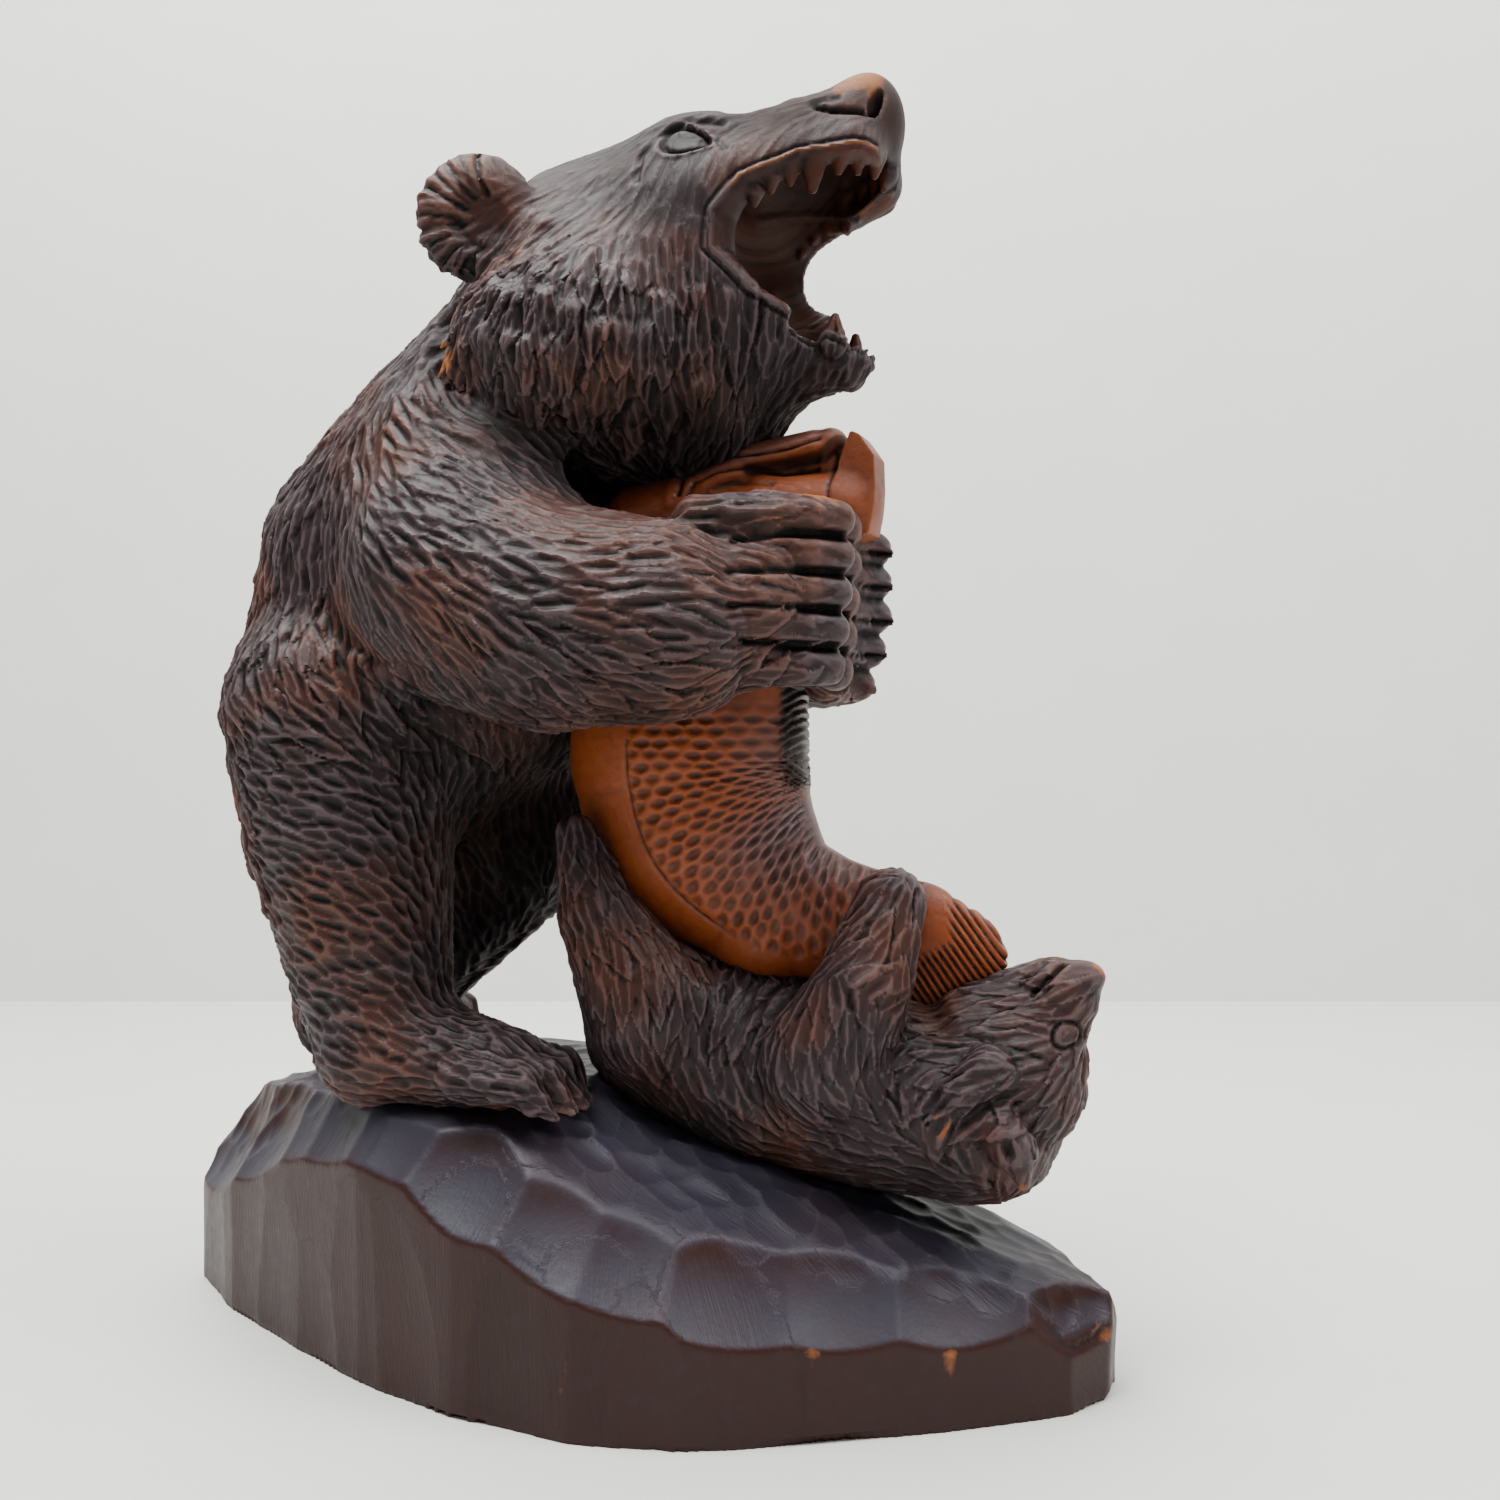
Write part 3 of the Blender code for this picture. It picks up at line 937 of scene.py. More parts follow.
@dataclass(frozen=True)
class StainedWood:
    """Hardwood cut with gouges, stained dark and waxed, with the stain rubbed off its ridges.

    Stained wood gives a dark, broken brown with a dull sheen. Where the stain has rubbed off, the orange
    wood shows in short streaks along the ridges. IOR is that of waxed wood, about 1.5. Grain lines, which
    are 0.2 to 0.4 mm wide in the real wood, are drawn at 0.9 mm so that they show, and dust at 1.6 mm. The
    stain has soaked in unevenly, in patches of about 48 mm, and lies in flecks of about 5 mm.
    """

    name: str
    # The deep colour is painted shade, laid in hollows and where the dark mark is set.
    deep: str = "0a0706"
    stain: str = "2b2123"
    # The ridge colours are a painted highlight, a lit grey-violet laid on the ridges.
    ridge: str = "554648"
    red: str = "422720"
    red_ridge_highlight: str = "664438"
    bare: str = "a8642f"
    flesh: str = "4a2210"
    flesh_dark: str = "180b06"
    roughness: float = 0.45
    sheen: float = 0.17
    grain_mm: float = 0.9
    patch_mm: float = 48.0
    fleck_mm: float = 5.0
    dust_mm: float = 1.6
    wear_floor: float = 0.72
    # How much each of these lightens the stain.
    light_tone: float = 0.16
    light_streak: float = 0.26
    # How much each of these wears the stain off.
    worn_fleck: float = 0.46
    worn_relief: float = 0.50
    worn_touch: float = 0.62
    worn_patch: float = 0.5

    def material(self) -> bpy.types.Material:
        """Make the material.

        Returns:
            The material, its colour and relief driven by the marks on the skin.
        """
        made = bpy.data.materials.new(self.name)
        made.use_nodes = True
        tree = made.node_tree
        shader = tree.nodes["Principled BSDF"]
        shader.inputs["IOR"].default_value = WAXED_WOOD_IOR
        shader.inputs["Specular IOR Level"].default_value = self.sheen
        put = partial(node, tree)
        place = put("ShaderNodeTexCoord", {}, "Object")
        mark = {name: put("ShaderNodeAttribute", {}, "Fac", attribute_name=name) for name in MARKS}

        across = put(MATH, {0: mark["across"], 1: 1 / self.grain_mm}, operation="MULTIPLY")
        along = put(MATH, {0: mark["along"], 1: 1 / (GRAIN_RUN * self.grain_mm)}, operation="MULTIPLY")
        apart = put(MATH, {0: mark["tone"], 1: GRAIN_JUMP}, operation="MULTIPLY")
        fibre = put("ShaderNodeCombineXYZ", {0: across, 1: along, 2: apart})
        streak = put(NOISE, {"Vector": fibre, "Scale": 1.0, "Detail": 2.0, "Roughness": 0.6})
        patch = put(NOISE, {"Vector": place, "Scale": 1000 / self.patch_mm, "Detail": 3.0})
        fleck = put(NOISE, {"Vector": place, "Scale": 1000 / self.fleck_mm, "Detail": 5.0, "Roughness": 0.6})
        dust = put(NOISE, {"Vector": place, "Scale": 1000 / self.dust_mm, "Detail": 2.0})

        lift = put(MATH, {0: mark["tone"], 1: self.light_tone, 2: mark["relief"]}, operation="MULTIPLY_ADD")
        lift = put(MATH, {0: streak, 1: self.light_streak, 2: lift}, operation="MULTIPLY_ADD")
        warm = put(RANGE, {VALUE: patch, LOW: 0.46, HIGH: 0.62, TOP: 0.8})
        tone = put(MIX, {SHARE: warm, UNDER: linear(self.stain), OVER: linear(self.red)},
                   COLOUR, data_type="RGBA")
        # Painted shade: where the relief is low, in the hollows, the colour goes towards the deep colour.
        low = put(RANGE, {VALUE: lift, LOW: 0.22, HIGH: 0.56})
        tone = put(MIX, {SHARE: low, UNDER: linear(self.deep), OVER: tone}, COLOUR, data_type="RGBA")
        # Painted highlight: where the relief is high, on the ridges, the colour goes towards the ridge
        # highlight colours.
        edge = put(MIX, {SHARE: warm, UNDER: linear(self.ridge), OVER: linear(self.red_ridge_highlight)},
                   COLOUR, data_type="RGBA")
        high = put(RANGE, {VALUE: lift, LOW: 0.78, HIGH: 1.12, TOP: 0.8})
        tone = put(MIX, {SHARE: high, UNDER: tone, OVER: edge}, COLOUR, data_type="RGBA")
        body = put(RANGE, {VALUE: lift, LOW: 0.25, HIGH: 0.72})
        body = put(MIX, {SHARE: body, UNDER: linear(self.flesh_dark), OVER: linear(self.flesh)},
                   COLOUR, data_type="RGBA")
        spot = put(RANGE, {VALUE: fleck, LOW: 0.52, HIGH: 0.75, TOP: 0.45})
        body = put(MIX, {SHARE: spot, UNDER: body, OVER: linear(self.red)}, COLOUR, data_type="RGBA")
        tone = put(MIX, {SHARE: mark["flesh"], UNDER: tone, OVER: body}, COLOUR, data_type="RGBA")

        worn = put(MATH, {0: fleck, 1: self.worn_fleck, 2: -0.25}, operation="MULTIPLY_ADD")
        for cause, weight in ((mark["relief"], self.worn_relief), (mark["wear"], self.worn_touch),
                              (patch, self.worn_patch)):
            worn = put(MATH, {0: cause, 1: weight, 2: worn}, operation="MULTIPLY_ADD")
        worn = put(RANGE, {VALUE: worn, LOW: self.wear_floor + 0.18, HIGH: self.wear_floor + 0.42, TOP: 0.9})
        bare = put(RANGE, {VALUE: streak, LOW: 0.3, HIGH: 0.7, TOP: 0.6})
        bare = put(MIX, {SHARE: bare, UNDER: linear(self.bare), OVER: linear(self.red)},
                   COLOUR, data_type="RGBA")
        tone = put(MIX, {SHARE: worn, UNDER: tone, OVER: bare}, COLOUR, data_type="RGBA")
        # Painted shade from the dark mark, and the stained mark, darken the colour towards the deep colour.
        dark = put(MATH, {0: mark["dark"], 1: 0.85}, operation="MULTIPLY")
        dark = put(MATH, {0: mark["stained"], 1: 0.85, 2: dark}, operation="MULTIPLY_ADD", use_clamp=True)
        tone = put(MIX, {SHARE: dark, UNDER: tone, OVER: linear(self.deep)}, COLOUR, data_type="RGBA")
        tree.links.new(tone, shader.inputs["Base Color"])

        rough = put(MATH, {0: fleck, 1: 0.22, 2: self.roughness - 0.11}, operation="MULTIPLY_ADD")
        rough = put(MATH, {0: mark["dark"], 1: 0.35, 2: rough}, operation="MULTIPLY_ADD")
        tree.links.new(rough, shader.inputs["Roughness"])
        height = put(MATH, {0: streak, 1: 0.6}, operation="MULTIPLY")
        height = put(MATH, {0: dust, 1: 0.25, 2: height}, operation="MULTIPLY_ADD")
        bump = put("ShaderNodeBump", {"Height": height, "Strength": 0.45, "Distance": 0.0006})
        tree.links.new(bump, shader.inputs["Normal"])
        return made


BEAR_COMB = Comb((
    (-44, -40, 405, -0.6, 0, -0.8, 26), (-64, -40, 383, -0.5, 0, -0.85, 24),
    (-105, -40, 338, -0.35, 0, -0.94, 24), (-125, -50, 293, -0.15, 0, -1, 24),
    (-92, -60, 308, 0.05, 0, -1, 14), (-66, -70, 345, 0.35, 0, -0.9, 14),
    (-44, -70, 356, 0.85, 0, -0.5, 18), (-15, -70, 350, 0.9, 0, -0.35, 18),
    (-31, -90, 323, 0.8, 0, -0.55, 16), (2, -90, 308, 0.85, 0, -0.3, 18), (38, -80, 306, 0.8, 0, 0.42, 16),
    (10, -100, 293, 1, 0, 0, 10), (40, -95, 291, 1, 0, 0.05, 10), (-30, -95, 296, 0.9, 0, -0.45, 10),
    (2, -95, 274, 0.75, 0, -0.65, 16), (-23, -90, 266, 0.45, 0, -0.9, 16), (-52, -80, 276, 0.1, 0, -1, 16),
    (34, -90, 263, 0.85, 0, -0.5, 16), (75, -70, 285, 1, 0, -0.12, 18), (83, -60, 308, 0.97, 0, 0.15, 14),
    (108, -30, 300, 0.5, 0, -0.1, 18), (2, -80, 246, 0.4, 0, -0.9, 16), (59, -60, 252, 0.9, 0, -0.35, 16),
    (-109, -60, 272, 0.35, 0, -0.95, 18), (-105, -80, 233, 0.95, 0, -0.3, 18),
    (-72, -80, 233, 0.85, 0, -0.55, 18), (-150, -50, 233, 0, 0, -1, 18), (-93, -85, 190, 1, 0, -0.2, 20),
    (-60, -80, 190, 0.85, 0, -0.5, 18), (-128, -50, 180, 0.1, 0, -1, 18), (-85, -80, 150, 1, 0, -0.25, 18),
    (-55, -75, 145, 0.9, 0, -0.4, 18), (-31, -75, 118, 1, 0, -0.15, 18), (-160, 0, 260, 0, 0, -1, 36),
    (-120, 0, 350, -0.6, 0, -0.8, 36), (-60, 0, 405, -0.8, 0, -0.6, 30), (-60, 0, 200, 0.2, 0, -1, 30),
    (20, 0, 300, 0.6, 0, -0.4, 26),
))

HEAD_COMB = Comb((
    (104, -14, 478, -0.9, 0, -0.5, 14), (84, -26, 470, -0.6, 0, -0.8, 14),
    (100, -20, 462, -0.3, 0, -0.95, 9), (70, -32, 453, -0.4, 0, -0.92, 14),
    (45, -40, 444, -0.15, 0, -1, 14), (24, -45, 453, -0.5, 0, -0.88, 14),
    (3, -50, 449, -0.75, 0, -0.62, 16), (-9, -60, 427, -0.6, 0, -0.8, 16), (33, -60, 419, -0.15, 0, -1, 16),
    (52, -50, 415, 0.05, 0, -1, 14), (12, -66, 389, -0.05, 0, -1, 18), (54, -50, 386, 0.12, 0, -1, 16),
    (87, -25, 380, -0.2, 0, -0.95, 16), (-30, -62, 400, -0.3, 0, -0.95, 14),
    (-50, -48, 400, -0.9, 0, -0.35, 10), (-20, -66, 375, -0.2, 0, -0.95, 14),
    (-50, 0, 440, -0.8, 0, -0.6, 30), (20, 0, 485, -1, 0, -0.1, 26), (80, 0, 492, -1, 0, -0.2, 20),
    (-48, -55, 458, -0.7, 0, 0.6, 9), (-55, -55, 440, -1, 0, 0, 9), (-48, -55, 425, -0.8, 0, -0.6, 8),
    (-33, -58, 466, -0.2, 0, 0.95, 9), (40, 0, 350, 0.2, 0, -1, 26),
))

CUB_COMB = Comb((
    (2, -45, 200, 0.15, 0, -1, 12), (14, -50, 172, 0.5, 0, -0.85, 14), (30, -50, 145, 0.2, 0, -1, 14),
    (52, -46, 140, -0.45, 0, -0.88, 14), (50, -46, 112, 0.25, 0, -0.95, 16),
    (50, -40, 88, 0.75, 0, -0.65, 16), (116, -42, 165, 0.55, 0, 0.82, 12),
    (104, -50, 138, -0.15, 0, -0.95, 12), (100, -48, 115, 0.35, 0, -0.93, 14),
    (128, -42, 98, 0.9, 0, -0.35, 14), (156, -36, 128, -0.98, 0, -0.15, 14),
    (142, -40, 108, -0.75, 0, -0.65, 10), (150, -30, 145, -0.9, 0, -0.2, 10),
    (172, -38, 88, 0.15, 0, -0.95, 8), (91, -30, 76, 1, 0, 0, 18), (182, -20, 112, -0.8, 0, -0.5, 12),
    (188, -8, 140, -0.8, 0, -0.5, 10), (0, 0, 150, 0, 0, -1, 22), (176, -20, 130, -1, 0, -0.1, 10),
))

PLINTH_COMB = Comb((
    (-150, -80, 40, 0, 0, -1, 40), (0, -100, 30, 0, 0, -1, 40), (120, -60, 20, 0, 0, -1, 40),
    (-130, -30, 98, -0.9, -0.3, 0, 34), (-60, -50, 104, 0.9, -0.4, 0, 34),
    (20, -60, 92, 0.9, -0.2, -0.4, 34), (90, -50, 62, 0.95, -0.1, -0.3, 34),
    (160, -10, 46, 0.9, 0.2, -0.2, 34), (-200, 0, 40, 0, 0, -1, 34),
))

def lock_row(clay: Clay, coarse: Skin, row: Sequence, count: int, lean: Sequence, size: float,
             radius: float, lift: float, chance: np.random.Generator) -> None:
    """Lay a row of pointed locks on a form, with their tips standing off it.

    Args:
        clay: The block that gets the locks.
        coarse: A rough skin of the form, to find its surface.
        row: Points that the row runs through.
        count: How many locks.
        lean: The way they point.
        size: Their length.
        radius: The radius of a root.
        lift: How far a tip stands off, as a share of the length.
        chance: The source of chance.
    """
    knots = np.array(row, float)
    for number in range(count):
        share = number / (count - 1) * (len(knots) - 1)
        low = min(int(share), len(knots) - 2)
        place = knots[low] + (knots[low + 1] - knots[low]) * (share - low) + chance.normal(0, 1.6, 3)
        near, normal = coarse.settle(place)
        flow = np.array(lean, float) + np.array([chance.normal(0, 0.16), 0, 0])
        flow = unit(flow - normal * (flow @ normal))
        long = size * chance.uniform(0.7, 1.25)
        root = near - normal * radius * 0.75 - flow * long * 0.4
        middle = near - normal * radius * 0.55 + flow * long * 0.2
        tip = near - normal * radius * 0.1 + flow * long * 0.85 + normal * long * lift
        clay.add(Limb(((*root, radius), (*middle, radius * 0.85), (*tip, 0.5))), 1.0)


@dataclass
class HeadAndRuff:
    """The head thrown back with its mouth wide open, over a ruff with a ragged hem. Sizes in millimetres."""

    step: float = 0.9
    limit: int = 195_000
    ear: float = 23.7
    eye_long: float = 18.0
    eye_x: float = 45.0
    eye_z: float = 468.0
    hem_locks: int = 17
    hem_seed: int = 5
    ear_seed: int = 17
    upper_teeth: tuple = ((92, 26, 461, 12, 6.2), (84, 29, 457, 6, 4.6), (77, 31, 453, 5, 4.2),
                          (71, 32.5, 447, 4, 3.8), (101, 21, 462, 6, 4.8), (107, 16, 463, 6, 4.4),
                          (112, 9, 463, 6, 4.0))

    def mouth(self) -> Wedge:
        """Give the block that opens the mouth, set back further on the near side.

        Returns:
            The block.
        """
        near = ((140, 460), (108, 462), (88, 458), (71, 449), (63, 437), (62, 425), (72, 411), (90, 398),
                (112, 389), (140, 384))
        far = ((140, 458), (113, 451), (108, 446), (99, 439), (92, 432), (88, 423), (89, 413), (98, 404),
               (112, 394), (140, 388))
        return Wedge(near, far, 35.0)

    def hollows(self) -> tuple[Ball, ...]:
        """Give the hollows behind the lips: palate, throat and floor of the mouth."""
        return (Ball((84, 0, 459), (29, 23, 13), (0, -12, 0)), Ball((77, 0, 432), (26, 35, 29)),
                Ball((84, 0, 404), (25, 22, 11), (0, 20, 0)))

    def masses(self, clay: Clay) -> None:
        """Melt skull, muzzle, jaw and ruff together.

        Args:
            clay: The block of clay.
        """
        clay.add(Limb(((-6, 0, 433, 46), (32, 0, 450, 38)), 1.1), 10)
        clay.add(Limb(((36, 0, 450, 35), (82, 0, 468, 24), (101, 0, 477, 19)), 1.2), 10)
        clay.add(Limb(((30, 0, 398, 40), (66, 0, 394, 24), (97, 0, 388, 11)), 1.3), 10)
        for side in SIDES:
            clay.add(Limb(((56, side * 26, 450, 17), (104, side * 17, 463, 12))), 8)
            clay.add(Ball((2, side * 27, 398), (51, 40, 48)), 12)
            clay.add(Ball((34, side * 22, 424), (38, 27, 38)), 12)
            clay.add(Ball((64, side * 25, 426), (26, 12, 34)), 6)
            clay.add(Ball((44, side * 24, 474), (18, 9.5, 9.5)), 7)
            clay.add(Ball((-4, side * 38, 391), (44, 37, 35)), 8)
        clay.add(Ball((24, 0, 374), (46, 48, 34)), 10)

    def hem(self, clay: Clay, coarse: Skin) -> None:
        """Hang the ragged hem of the ruff and the rows above it.

        Args:
            clay: The block of clay.
            coarse: A rough skin of the head, to find its surface.
        """
        chance = np.random.default_rng(self.hem_seed)
        hem = ((-48, 54, 410), (-44, 62, 396), (-28, 72, 378), (-2, 76, 365), (30, 70, 358), (56, 46, 356))
        upper = ((-36, 62, 420), (-24, 68, 400), (4, 70, 386), (36, 62, 378), (58, 46, 374))
        top = ((-22, 62, 436), (-4, 68, 418), (22, 66, 404), (48, 54, 396), (66, 38, 390))
        for side in SIDES:
            for row, count, size, radius, lift in (
                (hem, self.hem_locks, 24, 9.0, 0.12), (upper, self.hem_locks - 3, 25, 7.4, 0.05),
                (top, self.hem_locks - 4, 22, 6.4, 0.04),
            ):
                mirrored = [(x, side * y, z) for x, y, z in row]
                lock_row(clay, coarse, mirrored, count, (-0.12, 0, -1), size, radius, lift, chance)
            back = [(-44, side * 44, 424), (-46, side * 54, 410), (-44, side * 60, 398)]
            lock_row(clay, coarse, back, 5, (-1, 0, -0.4), 14, 7.0, 0.06, chance)

    def features(self, clay: Clay) -> None:
        """Cut the mouth and the nostrils, set the ears, the nose and the teeth.

        Args:
            clay: The block of clay.
        """
        clay.add(Ball((107, 0, 484), (13, 17, 15)), 4)
        for side in SIDES:
            turn = (0, 0, -side * 22)
            clay.add(Ball((-37, side * 51, 444), (self.ear, 9, self.ear * 1.06), turn), 4)
            clay.carve(Ball((-30, side * 63, 440), (self.ear * 0.60, 11, self.ear * 0.72), turn), 2)
            clay.carve(Ball((113.5, side * 16, 481.5), (2.2, 5.0, 8.0), (0, 16, 0)), 1.2)
        clay.carve(self.mouth(), 1.6)
        for hollow in self.hollows():
            clay.carve(hollow, 7)
        for side in SIDES:
            for x, y, z, long, radius in self.upper_teeth:
                top = (x, side * y, z, radius)
                clay.add(Limb((top, (x - 1.0, side * (y - 2), z - long, radius * 0.36))), 1.6)
            clay.add(Limb(((97, side * 16, 391, 6.0), (97.5, side * 15, 402, 1.8))), 2)
            for number in range(4):
                x = 97 + 3.2 * number
                clay.add(Limb(((x, side * (14 - 3 * number), 389 - number * 0.8, 2.8),
                               (x + 0.5, side * (13.5 - 3 * number), 393.5 - number * 0.8, 1.0))), 1.2)

    def mouth_gap(self, points: Array) -> Array:
        """Measure how far outside the mouth a point is.

        Args:
            points: Points in millimetres.

        Returns:
            A distance for each point.
        """
        x, y, z = points.T
        hollow = self.mouth().distance(x, y, z)
        for ball in self.hollows():
            hollow = np.minimum(hollow, ball.distance(x, y, z))
        return hollow

    def eye_gap(self, points: Array) -> Array:
        """Measure how far from the middle of an eye a point is, 1 on its rim, pointed to the front.

        Args:
            points: Points in millimetres.

        Returns:
            A distance for each point, as a share of the eye.
        """
        along = (points[:, 0] - self.eye_x) * 0.97 - (points[:, 2] - self.eye_z) * 0.2
        up = (points[:, 2] - self.eye_z) * 0.98 + (points[:, 0] - self.eye_x) * 0.2
        high = self.eye_long * (0.30 - 0.012 * along)
        gap = np.sqrt((along / (self.eye_long * 0.5)) ** 2 + (up / high) ** 2)
        return np.where(np.abs(points[:, 1]) > 14, gap, 9.0)

    def ruff_share(self, points: Array) -> Array:
        """Tell how much of a ruff the fur is: 0 on the face and in the mouth, 1 low on the ruff.

        Args:
            points: Points in millimetres.

        Returns:
            A share for each point.
        """
        outside = smoothstep(5.0, 10.0, self.mouth_gap(points))
        chin = 0.35 + 0.65 * smoothstep(94, 68, points[:, 0])
        return outside * chin * smoothstep(-5, 45, 450 - points[:, 2] - 0.25 * points[:, 0])

    def face_share(self, points: Array) -> Array:
        """Tell how deep the fur is cut: not on nose, lips, eye and mouth, half on the face.

        Args:
            points: Points in millimetres.

        Returns:
            A share for each point.
        """
        outside = smoothstep(4.6, 7.5, self.mouth_gap(points))
        nose = smoothstep(17, 30, np.linalg.norm(points - np.array([112, 0, 482]), axis=1))
        ruff = 0.42 + 0.75 * smoothstep(10, 50, 455 - points[:, 2] - 0.25 * points[:, 0])
        return outside * nose * smoothstep(1.2, 1.7, self.eye_gap(points)) * ruff

    def face(self, skin: Skin) -> None:
        """Cut the eyes, the lips, the crease of the nose and the ears, and bare the wood of the mouth.

        Args:
            skin: The skin.
        """
        normals = skin.soft_normals(4)
        gap = self.eye_gap(skin.points)
        groove, eyeball = peak(gap, 1.0, 0.13), smoothstep(1.0, 0.8, gap)
        height = -1.9 * groove - 0.5 * eyeball
        height += 0.5 * peak(gap, 1.35, 0.16)
        hollow = self.mouth_gap(skin.points)
        side = smoothstep(8, 14, np.abs(skin.points[:, 1])) * smoothstep(0.2, 0.5, np.abs(skin.normals[:, 1]))
        crease = peak(hollow, 4.0, 0.8)
        lips = 0.8 * peak(hollow, 2.0, 1.0) - 0.8 * crease
        height += side * np.where(hollow > 0.8, lips, 0.0)
        inner = smoothstep(2.0, 0.8, hollow)
        slant = skin.points[:, 2] * 0.82 - skin.points[:, 0] * 0.57 + 1.5 * np.sin(skin.points[:, 0] / 9)
        height += inner * 0.14 * np.sin(2 * math.pi * slant / 4.2) * np.abs(np.sin(slant / 5.1))
        skin.push(height, normals)
        skin.marks["flesh"] = inner * (0.35 + 0.65 * smoothstep(34, 29, np.abs(skin.points[:, 1])))
        skin.marks["along"] = np.where(inner > 0.5, skin.points[:, 0] * 0.8 + skin.points[:, 2] * 0.6,
                                       skin.marks["along"])
        skin.marks["across"] = np.where(inner > 0.5, slant, skin.marks["across"])
        skin.marks["stained"] = np.maximum.reduce([0.75 * groove, 0.3 * inner, 0.6 * eyeball])
        skin.marks["stained"] += side * 0.4 * crease
        upper = smoothstep(440, 455, skin.points[:, 2])
        skin.marks["wear"] = 0.7 * side * peak(hollow, 2.0, 0.8) * upper
        chance = np.random.default_rng(self.ear_seed)
        fan = [([(-31 + 10 * math.cos(a), 441 + 10 * math.sin(a)),
                 (-37 + 26 * math.cos(a), 444 + 27 * math.sin(a))],
                float(chance.uniform(1.2, 2.0)), float(chance.uniform(0.7, 1.8)), 0.2)
               for a in np.radians(np.arange(84, 290, 19) + chance.normal(0, 5, 11))]
        incise(skin, fan + [
            (((92, 480.5), (98, 478), (104, 477), (112, 476.5)), 1.3, 2.4, 1.0),
            (((90, 482), (95, 483.5), (100, 483)), 1.4, 1.0, 0.4),
            (((28, 452), (28, 463), (34, 472), (45, 477), (58, 475)), 1.5, 1.2, 0.2),
            (((57, 467), (61, 463)), 1.2, 1.0, 0.4),
        ])

    def build(self, finish: StainedWood) -> None:
        """Carve the head.

        Args:
            finish: The finish it gets.
        """
        low, high = (-92, -104, 322), (132, 104, 512)
        rough = Clay(low, high, 3.0)
        self.masses(rough)
        clay = Clay(low, high, self.step)
        self.masses(clay)
        self.hem(clay, rough.skin("rough"))
        self.features(clay)
        skin = clay.skin("head_and_ruff")
        gouge(skin, HEAD_COMB, Pass(Cut.LOCK, 30, 9.5, 1.9, 11, self.ruff_share))
        gouge(skin, HEAD_COMB, Pass(Cut.SCOOP, 22, 5.4, 1.5, 12, self.face_share))
        self.face(skin)
        weather(skin)
        wear_and_shade(skin, ((106, -12, 491, 7, 1.4), (101, -15, 488, 5, 1.2), (110, -4, 496, 5, 1.2),
                   (-60, -50, 450, 6, 0.9), (-59, -55, 436, 5, 0.9), (-46, -64, 386, 5, 1.2),
                   (-46, -60, 404, 4, 0.8), (106, -20, 466, 6, 0.6), (-20, -66, 425, 9, 0.6),
                   (2, -66, 430, 9, 0.5), (24, -34, 470, 8, 0.5), (-37, -60, 466, 6, 0.5),
                   (-10, -70, 405, 8, 0.4)))
        # Painted shade: under the chin and the ruff's hem, in the mouth, about the nose and eyes, and on top
        # of the skull and muzzle.
        wear_and_shade(skin, both_sides((
            (50, 44, 352, 20, 1.0), (20, 58, 346, 14, 0.9), (84, 10, 366, 18, 0.9), (-12, 64, 356, 10, 0.7),
            (78, 22, 482, 20, 0.8), (20, 16, 488, 30, 0.6), (98, 16, 476, 12, 0.5), (118, 6, 482, 9, 0.6),
            (52, 14, 484, 20, 0.5), (40, 40, 452, 14, 0.25), (64, 32, 462, 12, 0.4),
            (112, 14, 474, 7, 0.5))), "dark")
        skin.thinned(self.limit).to_object(finish.material())


